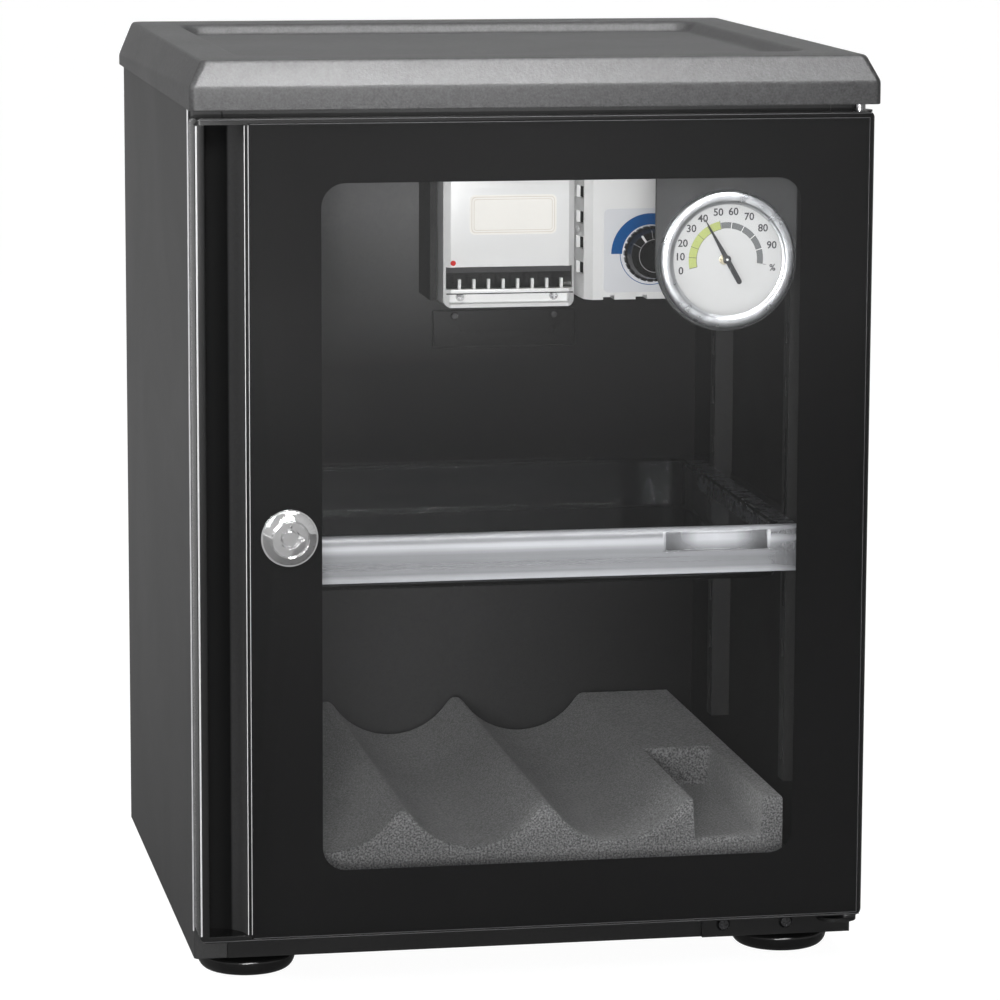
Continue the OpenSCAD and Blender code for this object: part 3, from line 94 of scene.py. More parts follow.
def turned(profile, centre, upright=False, steps=96, closed=False):
    # A profile of radius and height carried round an axis: centre + r cos t, centre + r sin t, height
    profile = np.asarray(profile, float)
    t = np.linspace(0, 2 * pi, steps, endpoint=False)
    a = centre[0] + profile[:, :1] * np.cos(t)
    b = centre[1] + profile[:, :1] * np.sin(t)
    h = np.repeat(profile[:, 1:2], steps, axis=1)
    points = np.stack([a, b, h] if upright else [a, h, b], axis=-1).reshape(-1, 3)
    return points, gridFaces(len(profile), steps, ringRows=closed, ringColumns=True).tolist()


def rectangleRing(x0, x1, y0, y1, r, steps=7):
    # Four quarter circles joined into one round-cornered ring, anticlockwise from the lower right
    t = np.linspace(0, pi / 2, steps)
    corners = [(x1 - r, y0 + r, -pi / 2), (x1 - r, y1 - r, 0), (x0 + r, y1 - r, pi / 2), (x0 + r, y0 + r, pi)]
    return np.concatenate([np.column_stack([cx + r * np.cos(t + a), cy + r * np.sin(t + a)])
                           for cx, cy, a in corners])


boxSides = np.array([[0, 1, 3, 2], [4, 6, 7, 5], [0, 4, 5, 1], [2, 3, 7, 6], [0, 2, 6, 4], [1, 5, 7, 3]])


def boxPoints(x, y, z):
    # The eight corners of an upright box between two x, two y and two z, in the order that boxSides reads
    return np.array([(a, b, c) for a in x for b in y for c in z])


def linked(name, data):
    # A new object in the scene's own collection
    holder = bpy.data.objects.new(name, data)
    bpy.context.scene.collection.objects.link(holder)
    return holder


def cleaned(mesh, reach, finish):
    # The mesh with points closer than reach made one and the finishing step done to its faces
    work = bmesh.new()
    work.from_mesh(mesh)
    bmesh.ops.remove_doubles(work, verts=work.verts, dist=reach)
    finish(work)
    work.to_mesh(mesh)
    work.free()


def smooth(mesh, angle):
    # Smooth shading but for edges sharper than the angle in degrees
    mesh.polygons.foreach_set("use_smooth", np.ones(len(mesh.polygons), bool))
    mesh.set_sharp_from_angle(angle=radians(angle))
    mesh.update()


def addPiece(name, points, faces, material, body, angle=35, replaced=(), facing=None):
    # Points in mm from the door's corner; an open sheet is turned to face the given way
    def outward(work):
        if facing is None:
            bmesh.ops.recalc_face_normals(work, faces=work.faces)
        else:
            wrong = [f for f in work.faces if f.normal.dot(facing) < 0]
            bmesh.ops.reverse_faces(work, faces=wrong)
    mesh = bpy.data.meshes.new(name)
    mesh.from_pydata(toFrame(points).tolist(), [], faces)
    cleaned(mesh, 2e-7, outward)
    smooth(mesh, angle)
    mesh.materials.append(material)
    piece = linked(name, mesh)
    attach(piece, body)
    if replaced:
        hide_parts(*replaced)
    return piece


def cutAway(mesh, low, high):
    # The mesh less an upright box between two corners in mm from the door's corner
    box = bpy.data.meshes.new("cutter")
    box.from_pydata(toFrame(boxPoints(*zip(low, high))).tolist(), [], boxSides.tolist())
    whole, cutter = linked("cut", mesh), linked("cutter", box)
    cut = whole.modifiers.new("cut", "BOOLEAN")
    cut.object, cut.operation, cut.solver = cutter, "DIFFERENCE", "EXACT"
    bpy.context.view_layer.update()
    made = bpy.data.meshes.new_from_object(whole.evaluated_get(bpy.context.evaluated_depsgraph_get()))
    for holder in (whole, cutter):
        bpy.data.objects.remove(holder)
    return made


def softened(node, width, material, opening=None):
    # A merged copy of a CAD node whose edges get a small round, with an opening cut first where one is given
    def merged(work):
        bmesh.ops.dissolve_limit(work, angle_limit=radians(0.6), verts=work.verts, edges=work.edges,
                                 delimit={"NORMAL"})
    mesh = frame["nodes"][node].data.copy()
    if opening:
        mesh = cutAway(mesh, *opening)
    mesh.name = node + "Soft"
    cleaned(mesh, 1e-6, merged)
    mesh.materials.clear()
    mesh.materials.append(material)
    smooth(mesh, 40)
    piece = linked(node + "Soft", mesh)
    bevel = piece.modifiers.new("edge", "BEVEL")
    bevel.width, bevel.segments = width / 1000.0, 2
    bevel.limit_method, bevel.angle_limit = "ANGLE", radians(34)
    bevel.harden_normals, bevel.miter_outer = True, "MITER_ARC"
    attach(piece, bodyOf[node])
    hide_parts(node)
    return piece


class Marks:
    # Flat marks for print, joints and painted highlights, gathered into one sheet at one depth
    def __init__(self, x, y, z):
        self.centre = np.array([x, z])
        self.y = y
        self.points, self.faces, self.count = [], [], 0

    def add(self, flat, faces):
        # Flat points about the marks' centre, their faces counted on from the marks before
        flat = np.asarray(flat, float) + self.centre
        self.points.append(np.column_stack([flat[:, 0], np.full(len(flat), self.y), flat[:, 1]]))
        self.faces += [[k + self.count for k in face] for face in faces]
        self.count += len(flat)

    def arc(self, r0, r1, a0, a1):
        # A band between two radii: r cos a, r sin a over the angles
        steps = max(3, int(abs(a1 - a0) / 2.5))
        a = np.radians(np.linspace(a0, a1, steps))
        ring = np.stack([np.cos(a), np.sin(a)], -1)
        self.add(np.concatenate([ring * r0, ring * r1]), gridFaces(2, steps).tolist())

    def between(self, outer, inner):
        # The band between two closed rings with as many points
        self.add(np.concatenate([outer, inner]), gridFaces(2, len(outer), ringColumns=True).tolist())

    def strip(self, x0, x1, z0, z1):
        # An upright rectangle
        self.add([(x0, z0), (x1, z0), (x1, z1), (x0, z1)], [[0, 1, 2, 3]])

    def bar(self, angle, r0, r1, width):
        # A straight bar along a ray at the angle, between two radii
        a = radians(angle)
        along, across = np.array([cos(a), sin(a)]), np.array([-sin(a), cos(a)]) * width / 2
        self.add([along * r0 - across, along * r1 - across, along * r1 + across, along * r0 + across],
                 [[0, 1, 2, 3]])

    def figures(self, text, x, z, height):
        # Plain figures, made a mesh before they are placed
        curve = bpy.data.curves.new("figures", "FONT")
        curve.body, curve.align_x, curve.align_y = text, "CENTER", "CENTER"
        curve.size, curve.resolution_u, curve.offset = height / 0.7, 4, height * 0.028
        letters = linked("figures", curve)
        bpy.context.view_layer.update()
        flat = bpy.data.meshes.new_from_object(letters.evaluated_get(bpy.context.evaluated_depsgraph_get()))
        points = np.empty(len(flat.vertices) * 3)
        flat.vertices.foreach_get("co", points)
        self.add(points.reshape(-1, 3)[:, :2] + [x, z], [list(face.vertices) for face in flat.polygons])
        bpy.data.objects.remove(letters)
        bpy.data.meshes.remove(flat)
        bpy.data.curves.remove(curve)

    def printed(self, name, material, body):
        # All the marks as one piece that faces the front
        return addPiece(name, np.concatenate(self.points), self.faces, material, body,
                        facing=(0, -1, 0))


def groupOf(name, inputs, outputs):
    # A node group with its input and output nodes, from each socket's name and kind
    group = bpy.data.node_groups.new(name, "ShaderNodeTree")
    for way, sockets in (("INPUT", inputs), ("OUTPUT", outputs)):
        for label, kind in sockets.items():
            group.interface.new_socket(label, in_out=way, socket_type="NodeSocket" + kind)
    return group, group.nodes.new("NodeGroupInput").outputs, group.nodes.new("NodeGroupOutput").inputs


def addNode(tree, kind, links, **values):
    # A shader node: its settings are the values, and its sockets take the links, each a socket or a constant
    made = tree.nodes.new("ShaderNode" + kind)
    for key, value in values.items():
        setattr(made, key, value)
    for socket, source in links.items():
        if isinstance(source, bpy.types.NodeSocket):
            tree.links.new(source, made.inputs[socket])
        else:
            made.inputs[socket].default_value = source
    return made


def mathNode(tree, operation, a, b=0.0):
    # One operation on two sockets or numbers
    return addNode(tree, "Math", {0: a, 1: b}, operation=operation).outputs[0]


def times(tree, product, *factors):
    # The product of sockets and numbers
    for factor in factors:
        product = mathNode(tree, "MULTIPLY", product, factor)
    return product


def plus(tree, total, *parts):
    # The total of sockets and numbers
    for part in parts:
        total = mathNode(tree, "ADD", total, part)
    return total


def stretched(tree, value, low, high, toLow, toHigh):
    # The value's range from low to high, carried to another range and held at both ends
    return addNode(tree, "MapRange", {"Value": value, "From Min": low, "From Max": high,
                                      "To Min": toLow, "To Max": toHigh}).outputs[0]


def tinted(tree, colour, shade):
    # Colour times a brightness
    return addNode(tree, "VectorMath", {0: colour, 3: shade}, operation="SCALE").outputs[0]


def noise(tree, vector, scale, detail, **values):
    # Fractal noise about one half
    sockets = {"Vector": vector, "Scale": scale, "Detail": detail, **values}
    return addNode(tree, "TexNoise", sockets).outputs[0]


def principled(tree, colour, roughness, **values):
    # One Principled shader; a value's name has an underscore for each space
    values = {label.replace("_", " "): value for label, value in values.items()}
    return addNode(tree, "BsdfPrincipled", {"Base Color": colour, "Roughness": roughness, **values})


def axes(tree, vector):
    # The x, y and z of a vector
    return addNode(tree, "SeparateXYZ", {0: vector}).outputs


def mixed(tree, share, first, second):
    # Two shaders, the second by its share
    return addNode(tree, "MixShader", {0: share, 1: first, 2: second}).outputs[0]


def ramp(tree, value, stops, kind="LINEAR"):
    # Grey tones at places from 0 to 1 along a value, both ends doubled so that a spline reaches them
    made = addNode(tree, "ValToRGB", {0: value})
    made.color_ramp.interpolation = kind
    elements = made.color_ramp.elements
    for spot, tone in stops:
        elements.new(spot).color = (tone, tone, tone, 1)
    for end in (0, -1):
        elements[end].color = (*[stops[end][1]] * 3, 1)
    return made.outputs[0]


# Fine surface grain with slow drifts of tone and gloss, for paint and mouldings
grain, gin, gout = groupOf("surfaceGrain", dict(Vector="Vector", Color="Color", Roughness="Float",
                                                Scale="Float", Contrast="Float", Drift="Float"),
                           dict(Color="Color", Roughness="Float", Height="Float"))
fine = noise(grain, gin["Vector"], gin["Scale"], 3.0, Roughness=0.65)
coarse = noise(grain, gin["Vector"], times(grain, gin["Scale"], 0.31), 2.0)
slow = noise(grain, gin["Vector"], 7.0, 5.0, Distortion=0.6)
height = plus(grain, times(grain, fine, 0.7), times(grain, coarse, 0.3))
speck = times(grain, stretched(grain, height, 0.32, 0.68, -1.0, 1.0), gin["Contrast"])
drift = times(grain, stretched(grain, slow, 0.3, 0.7, -1.0, 1.0), gin["Drift"])
grain.links.new(tinted(grain, gin["Color"], plus(grain, speck, drift, 1.0)), gout["Color"])
grain.links.new(times(grain, gin["Roughness"], plus(grain, times(grain, drift, 1.5), 1.0)), gout["Roughness"])
grain.links.new(height, gout["Height"])

# Open cells of cut foam: dark pores between pale walls
cells, cin, cout = groupOf("foamCells", dict(Vector="Vector", Color="Color", Scale="Float"),
                           dict(Color="Color", Height="Float"))
pores = addNode(cells, "TexVoronoi", {"Vector": cin["Vector"], "Scale": cin["Scale"]},
                feature="F1").outputs["Distance"]
dots = noise(cells, cin["Vector"], times(cells, cin["Scale"], 0.8), 3.0)
patch = noise(cells, cin["Vector"], 22.0, 4.0)
cellShade = times(cells, stretched(cells, dots, 0.38, 0.62, 0.5, 1.55),
                  stretched(cells, pores, 0.1, 0.7, 0.75, 1.2), stretched(cells, patch, 0.3, 0.7, 0.9, 1.1))
cells.links.new(tinted(cells, cin["Color"], cellShade), cout["Color"])
cells.links.new(plus(cells, pores, times(cells, dots, 0.8)), cout["Height"])

# Fine lines and patches of zinc or nickel plating
plating, pin, pout = groupOf("platedMetal", dict(Vector="Vector", Color="Color", Roughness="Float",
                                                 Patches="Float"),
                             dict(Color="Color", Roughness="Float", Height="Float"))
spangle = noise(plating, pin["Vector"], 160.0, 4.0)
swing = times(plating, stretched(plating, spangle, 0.35, 0.65, -1.0, 1.0), pin["Patches"])
plated = tinted(plating, pin["Color"], plus(plating, times(plating, swing, 0.4), 1.0))
plating.links.new(plated, pout["Color"])
plating.links.new(times(plating, pin["Roughness"], plus(plating, swing, 1.0)), pout["Roughness"])
plating.links.new(noise(plating, pin["Vector"], 2400.0, 2.0), pout["Height"])


def emptyMaterial(name):
    # A material with only its output and the place on the object
    material = bpy.data.materials.new(name)
    material.use_nodes = True
    tree = material.node_tree
    tree.nodes.clear()
    where = tree.nodes.new("ShaderNodeTexCoord").outputs["Object"]
    return material, tree, where, tree.nodes.new("ShaderNodeOutputMaterial")


def roughened(tree, shader, height, strength, depth):
    # Fine relief from a height, as deep as the depth in mm
    if strength:
        bump = addNode(tree, "Bump", {"Height": height, "Strength": strength, "Distance": depth / 1000.0})
        tree.links.new(bump.outputs[0], shader.inputs["Normal"])


def grained(tree, where, colour, roughness, scale, contrast, drift):
    # The surface grain's colour, roughness and height; the colour may come from a socket
    if not isinstance(colour, bpy.types.NodeSocket):
        colour = (*colour, 1)
    return addNode(tree, "Group", {"Vector": where, "Color": colour, "Roughness": roughness, "Scale": scale,
                                   "Contrast": contrast, "Drift": drift}, node_tree=grain).outputs


def coated(name, colour, roughness, scale, contrast, drift, bump, depth, shine=0.5, paintedLight=None, **more):
    # Paint, moulding, rubber or print: grain over one Principled shader, its colour given painted light and
    # shade by place if asked
    material, tree, where, out = emptyMaterial(name)
    if paintedLight:
        colour = tinted(tree, colour, paintedLight(tree, axes(tree, where)))
    made = grained(tree, where, colour, roughness, scale, contrast, drift)
    shader = principled(tree, made[0], made[1], Specular_IOR_Level=shine, **more)
    roughened(tree, shader, made[2], bump, depth)
    tree.links.new(shader.outputs[0], out.inputs[0])
    return material


def metal(name, colour, roughness, patches=0.15, bump=0.05, depth=0.01):
    # Plated or turned metal: patches of tone and gloss over one metallic shader
    material, tree, where, out = emptyMaterial(name)
    made = addNode(tree, "Group", {"Vector": where, "Color": (*colour, 1), "Roughness": roughness,
                                   "Patches": patches}, node_tree=plating).outputs
    shader = principled(tree, made[0], made[1], Metallic=1.0)
    roughened(tree, shader, made[2], bump, depth)
    tree.links.new(shader.outputs[0], out.inputs[0])
    return material


def seenThrough(tree, surface, tint, out):
    # The surface to the eye and to reflections; soft light and shadow rays go straight through its tint
    rays = tree.nodes.new("ShaderNodeLightPath").outputs
    passing = mathNode(tree, "MAXIMUM", rays["Is Shadow Ray"], rays["Is Diffuse Ray"])
    through = addNode(tree, "BsdfTransparent", {"Color": (*tint, 1)})
    tree.links.new(mixed(tree, passing, surface, through.outputs[0]), out.inputs[0])


def clear(name, colour, roughness, ior, shadowTint=(1, 1, 1)):
    # Glass or clear moulding, which light passes without a caustic
    material, tree, where, out = emptyMaterial(name)
    made = grained(tree, where, colour, roughness, 600.0, 0.0, 0.01)
    shader = principled(tree, made[0], made[1], Transmission_Weight=1.0, IOR=ior)
    seenThrough(tree, shader.outputs[0], shadowTint, out)
    return material


finishes = {
    "body_paint": coated("bodyPaint", (0.034, 0.034, 0.0345), 0.46, 1300, 0.20, 0.05, 0.35, 0.05, shine=0.3),
    "chamber_paint": coated("chamberPaint", (0.017, 0.017, 0.0172), 0.6, 1200, 0.10, 0.08, 0.2, 0.04,
                            shine=0.14),
    "lid_plastic": coated("lidGrain", (0.045, 0.045, 0.046), 0.42, 820, 0.55, 0.05, 0.8, 0.2, shine=0.32),
    "foot_rubber": coated("footGloss", (0.010, 0.010, 0.010), 0.2, 900, 0.1, 0.1, 0.03, 0.02),
    "door_plastic": coated("doorMoulding", (0.0085, 0.0085, 0.0086), 0.2, 1800, 0.15, 0.08, 0.1, 0.02),
    "black_plastic": coated("blackMoulding", (0.0075, 0.0075, 0.0076), 0.25, 1800, 0.15, 0.08, 0.1, 0.02),
    "border_print": coated("borderPrint", (0.006, 0.006, 0.0062), 0.6, 900, 0.02, 0.02, 0.0, 0.0, shine=0.05),
    "gasket_rubber": coated("gasketRubber", (0.030, 0.030, 0.031), 0.62, 900, 0.12, 0.08, 0.3, 0.05,
                            shine=0.3),
    "pale_plastic": coated("paleMoulding", (0.84, 0.84, 0.84), 0.33, 1500, 0.012, 0.015, 0.08, 0.02),
    "drying_agent": coated("dryingAgent", (0.42, 0.36, 0.28), 0.85, 700, 0.25, 0.1, 0.8, 0.2),
    "red_lens": coated("redLens", (0.55, 0.012, 0.012), 0.12, 900, 0.05, 0.05, 0.02, 0.01,
                       Emission_Color=(1.0, 0.03, 0.02, 1), Emission_Strength=0.25),
    "cream_label": coated("creamLabel", (0.97, 0.945, 0.90), 0.5, 1100, 0.012, 0.012, 0.0, 0.0),
    "grey_label": coated("greyLabel", (0.72, 0.73, 0.765), 0.42, 1100, 0.012, 0.012, 0.0, 0.0),
    "green_board": coated("resistorMoulding", (0.05, 0.15, 0.08), 0.45, 1100, 0.1, 0.05, 0.1, 0.02),
    "dial_enamel": coated("dialEnamel", (0.56, 0.56, 0.56), 0.5, 1000, 0.012, 0.015, 0.0, 0.0, shine=0.2),
    "grey_plastic": coated("greyMoulding", (0.028, 0.029, 0.030), 0.55, 1500, 0.12, 0.06, 0.1, 0.02,
                           shine=0.2),
    "needle_paint": coated("needlePaint", (0.010, 0.011, 0.013), 0.35, 1500, 0.08, 0.05, 0.05, 0.01),
    "bright_chrome": metal("brightChrome", (0.88, 0.88, 0.885), 0.09, 0.12, 0.0, 0.0),
    "zinc_steel": metal("zincSteel", (0.52, 0.52, 0.53), 0.28, 0.3, 0.15, 0.01),
    "clear_glass": clear("clearGlass", (0.985, 0.99, 0.988), 0.0, 1.42),
    "clear_plastic": clear("clearMoulding", (0.90, 0.92, 0.94), 0.03, 1.25, shadowTint=(0.92, 0.92, 0.92)),
}

# Heights, places and ramps of the lip's haze and of its painted highlights
hazeAndHighlight = dict(low=0.1995, high=0.2235, hinge=(0.128, 0.142), pullMiddle=0.10095, pullHalf=0.0282,
            pullLow=0.2112, pullHigh=0.2212, paleLow=0.217,
            byHeight=[(0.0, 0.75), (0.09, 0.62), (0.16, 0.36), (0.42, 0.34), (0.62, 0.40), (0.70, 0.86),
                      (0.78, 0.72), (0.84, 0.14), (1.0, 0.08)],
            acrossPull=[(0.0, 0.95), (0.35, 0.85), (0.75, 0.25), (0.93, 0.2), (0.955, 1.0), (0.99, 1.0),
                        (1.0, 0.0)])

# The lip's haze by height: a clear rolled top, a line of painted highlight, a soft grey band of haze with
# long streaks, a pale foot that is a painted highlight
lipHazeAndHighlight, hazeIn, hazeOut = groupOf("lipHazeAndHighlight", dict(Vector="Vector"), dict(Color="Color", MilkAndLight="Float"))
lipPlace = axes(lipHazeAndHighlight, hazeIn["Vector"])
byHeight = ramp(lipHazeAndHighlight, stretched(lipHazeAndHighlight, lipPlace[2], hazeAndHighlight["low"], hazeAndHighlight["high"], 0.0, 1.0),
                hazeAndHighlight["byHeight"], "B_SPLINE")
longWay = addNode(lipHazeAndHighlight, "VectorMath", {0: hazeIn["Vector"], 1: (2.2, 0.0, 260.0)},
                  operation="MULTIPLY").outputs[0]
streak = noise(lipHazeAndHighlight, longWay, 1.0, 3.0)
milkAndLightShare = times(lipHazeAndHighlight, byHeight, stretched(lipHazeAndHighlight, streak, 0.3, 0.7, 0.8, 1.2),
                  stretched(lipHazeAndHighlight, lipPlace[0], *hazeAndHighlight["hinge"], 1.0, 0.55))
# Round the sunk pull, a painted gradient that is darker towards its bottom and painted highlights along its
# sides
aside = mathNode(lipHazeAndHighlight, "ABSOLUTE", mathNode(lipHazeAndHighlight, "SUBTRACT", lipPlace[0], hazeAndHighlight["pullMiddle"]))
aside = stretched(lipHazeAndHighlight, aside, 0.0, hazeAndHighlight["pullHalf"], 0.0, 1.0)
acrossPull = ramp(lipHazeAndHighlight, aside, hazeAndHighlight["acrossPull"])
inPull = times(lipHazeAndHighlight, mathNode(lipHazeAndHighlight, "GREATER_THAN", lipPlace[2], hazeAndHighlight["pullLow"]),
               mathNode(lipHazeAndHighlight, "LESS_THAN", lipPlace[2], hazeAndHighlight["pullHigh"]),
               mathNode(lipHazeAndHighlight, "LESS_THAN", aside, 1.0))
pullMilkAndLight = times(lipHazeAndHighlight, acrossPull,
                 stretched(lipHazeAndHighlight, lipPlace[2], hazeAndHighlight["pullLow"], hazeAndHighlight["paleLow"], 0.3, 0.9))
milkAndLightShare = plus(lipHazeAndHighlight, times(lipHazeAndHighlight, inPull, pullMilkAndLight),
                 times(lipHazeAndHighlight, milkAndLightShare, mathNode(lipHazeAndHighlight, "SUBTRACT", 1.0, inPull)))
lipHazeAndHighlight.links.new(tinted(lipHazeAndHighlight, (0.74, 0.75, 0.79), stretched(lipHazeAndHighlight, milkAndLightShare, 0.3, 0.9, 0.72, 1.0)),
                  hazeOut["Color"])
lipHazeAndHighlight.links.new(milkAndLightShare, hazeOut["MilkAndLight"])


def frostedMouldingWithPaintedLight():
    # Clear moulding whose milk follows the lip's height, partly haze and partly painted highlight
    material, tree, where, out = emptyMaterial("frostedMouldingWithPaintedLight")
    made = addNode(tree, "Group", {"Vector": where}, node_tree=lipHazeAndHighlight).outputs
    shader = principled(tree, (0.93, 0.945, 0.96, 1), 0.08, Transmission_Weight=1.0, IOR=1.42)
    milk = principled(tree, made[0], 0.3)
    seenThrough(tree, mixed(tree, made[1], shader.outputs[0], milk.outputs[0]), (0.85, 0.85, 0.85), out)
    return material


frostedWithPaintedLight = frostedMouldingWithPaintedLight()
darkScrew = metal("blackenedSteel", (0.14, 0.14, 0.145), 0.25, 0.3, 0.1, 0.01)
crystal = clear("dialCrystal", (0.98, 0.985, 0.99), 0.0, 1.3)
blueInk = coated("blueInk", (0.0, 0.085, 0.29), 0.8, 1100, 0.03, 0.02, 0.0, 0.0, shine=0.0)
greyInk = coated("greyInk", (0.055, 0.055, 0.06), 0.6, 1100, 0.03, 0.02, 0.0, 0.0, shine=0.1)
bandInk = coated("bandInk", (0.115, 0.12, 0.122), 0.5, 1100, 0.03, 0.02, 0.05, 0.02)
greenInk = coated("greenInk", (0.36, 0.41, 0.12), 0.5, 1100, 0.04, 0.02, 0.05, 0.02)
whiteInk = coated("whiteInk", (0.86, 0.86, 0.85), 0.45, 1100, 0.01, 0.01, 0.05, 0.02)
labelLine = coated("labelLine", (0.72, 0.66, 0.58), 0.5, 1100, 0.01, 0.01, 0.05, 0.02)
# Greys that stand for light: a pale one for painted highlights, a dim one for dim painted highlights and the
# outlet slope's painted half-shade
paintedHighlight = coated("paintedHighlight", (0.60, 0.60, 0.61), 0.3, 1500, 0.05, 0.05, 0.0, 0.0)
paintedDimLight = coated("paintedDimLight", (0.085, 0.085, 0.088), 0.3, 1500, 0.05, 0.05, 0.0, 0.0)
# A darker copy of the body's paint, painted shade for the base strip and the lower hinge plate
shadedBasePaint = coated("shadedBasePaint", (0.009, 0.009, 0.0092), 0.42, 1300, 0.15, 0.08, 0.1, 0.03, shine=0.3)
knobBlack = coated("knobBlack", (0.005, 0.005, 0.0052), 0.14, 1500, 0.1, 0.05, 0.0, 0.0)
knobLine = coated("knobLine", (0.16, 0.16, 0.165), 0.4, 1500, 0.05, 0.05, 0.0, 0.0)
brass = metal("brass", (0.60, 0.54, 0.40), 0.3)
satin = metal("satinSilver", (0.50, 0.51, 0.53), 0.3, 0.1, 0.0, 0.0)
# A darker copy of the chamber's paint, painted shade for the right inner wall
farWallPaintedShade = coated("farWallPaintedShade", (0.008, 0.008, 0.0082), 0.7, 1200, 0.1, 0.08, 0.2, 0.04, shine=0.05)


def openCellFoam():
    # The foam's cells over a matt shader with a little sheen
    material, tree, where, out = emptyMaterial("greyFoam")
    made = addNode(tree, "Group", {"Vector": where, "Color": (0.17, 0.17, 0.172, 1), "Scale": 1250.0},
                   node_tree=cells).outputs
    shader = principled(tree, made[0], 0.95, Specular_IOR_Level=0.1, Sheen_Weight=0.25, Sheen_Roughness=0.5)
    roughened(tree, shader, made[1], 0.35, 0.15)
    tree.links.new(shader.outputs[0], out.inputs[0])
    return material


finishes["foam"] = openCellFoam()


def gripFinishWithPaintedLight():
    # The door's gloss on the lip, a matt scoop darkened by painted shade and a flank by the glass made paler
    # by painted light, told apart by x and y
    material, tree, where, out = emptyMaterial("gripMouldingWithPaintedLight")
    place = axes(tree, where)
    scoop = times(tree, stretched(tree, place[0], -0.1650, -0.1642, 0.0, 1.0),
                  mathNode(tree, "LESS_THAN", place[0], -0.14605),
                  mathNode(tree, "LESS_THAN", place[1], -0.1505))
    paintedLitFlank = times(tree, scoop, stretched(tree, place[0], -0.1527, -0.1517, 0.0, 1.0))
    matt = mathNode(tree, "SUBTRACT", scoop, times(tree, paintedLitFlank, 0.45))
    # The colour's painted shade in the scoop and painted light on the flank
    shade = plus(tree, stretched(tree, scoop, 0.0, 1.0, 1.0, 0.35), times(tree, paintedLitFlank, 4.5))
    made = grained(tree, where, tinted(tree, (0.0095, 0.0095, 0.0096), shade), 0.22, 1800.0, 0.15, 0.08)
    gloss = principled(tree, made[0], made[1])
    dull = principled(tree, made[0], 0.7, Specular_IOR_Level=0.06)
    tree.links.new(mixed(tree, matt, gloss.outputs[0], dull.outputs[0]), out.inputs[0])
    return material


def rearPaintedLightAndShade(tree, place):
    # Painted light and shade on the rear wall: paler to the upper and the lower left and duller under the
    # units, by x and height
    upper = times(tree, stretched(tree, place[2], 0.27, 0.36, 0.0, 1.0),
                  stretched(tree, place[0], -0.01, 0.08, 1.0, 0.0), 5.6)
    lower = times(tree, stretched(tree, place[2], 0.22, 0.16, 0.0, 1.0),
                  stretched(tree, place[0], 0.02, 0.15, 1.0, 0.0), 2.2)
    return plus(tree, upper, lower, 0.45)


# Every CAD node gets the finish of its slot
slotOf = {row["node"]: row["material_slot"] for row in frame["record"]["subparts"]}
finishOf = {name: finishes[slotOf[name]] for name in frame["nodes"]}
# The rear wall's paint, given to the rear wall and the blanking plate, with painted light and shade by place
rearPaintWithPaintedLight = coated("rearPaintWithPaintedLight", (0.021, 0.021, 0.0213), 0.6, 1200, 0.10, 0.08, 0.2, 0.04,
                   shine=0.03, paintedLight=rearPaintedLightAndShade)
# Among the finishes set by name, the rear wall's paint carries painted light and shade, and the darker base
# and far wall carry painted shade
finishOf.update(hygrometer_crystal=crystal, hinge_screws=darkScrew, blanking_screws=darkScrew,
                bottom_pan=shadedBasePaint, hinge_plate_bottom=shadedBasePaint, control_knob=knobBlack,
                inner_back=rearPaintWithPaintedLight, blanking_plate=rearPaintWithPaintedLight, inner_side_right=farWallPaintedShade)
for name, node in frame["nodes"].items():
    for place in node.material_slots:
        place.material = finishOf[name]
print("finishes set")


lid = dict(bottom=414.0, skirtFront=425.5, skirtRear=419.7, top=438.2, floor=432.7,
           outer=(-2.4, 342.4, -1.6, 337.5), rim=(4.0, 336.0, 3.5, 327.7),
           tray=(26.0, 314.0, 36.0, 293.5), trayFloor=(31.0, 309.0, 41.0, 288.5),
           inner=(-0.3, 340.3, 0.4, 336.3), closed=419.7)


def lidCover():
    # Round-cornered rings from inside the skirt over its edge, slope, rim and tray; each has four sides, a
    # corner and its heights at the front and rear, between which it rises evenly
    levels = roundPath([[*lid[sides], r, lid[front], lid[rear]] for sides, r, front, rear in (
        ("inner", 1.2, "closed", "closed"), ("inner", 1.2, "bottom", "bottom"),
        ("outer", 3.0, "bottom", "bottom"), ("outer", 3.0, "skirtFront", "skirtRear"),
        ("rim", 3.6, "top", "top"), ("tray", 14.0, "top", "top"),
        ("trayFloor", 9.0, "floor", "floor"))], [0, 0.4, 0.8, 2.2, 3.4, 5.0, 0], steps=5)
    floorRing = levels[-1].copy()
    floorRing[:4] += [6, -6, 6, -6]
    levels = np.concatenate([levels[:-1], roundPath([levels[-2], levels[-1], floorRing], 3.5, 5)[1:]])
    rings = []
    for x0, x1, y0, y1, r, front, rear in levels:
        ring = rectangleRing(x0, x1, y0, y1, r)
        share = (ring[:, 1] - y0) / (y1 - y0)
        rings.append(np.column_stack([ring, front + (rear - front) * share]))
    return addPiece("lidCover", np.concatenate(rings), skin(len(rings), len(rings[0])),
                    finishes["lid_plastic"], "cabinet", 50, replaced=["top_cover"])


lidCover()
print("lid made")


bed = dict(x=(18.0, 307.4), y=(40.0, 310.0), base=12.0, top=54.6, firstCrest=33.8, pitch=74.6, cradles=3,
           flat=6.0, depth=20.3, pocketX=(260.6, 296.3), pocketEnd=160.0, pocketFloor=34.0, round=1.6,
           ripple=0.12)


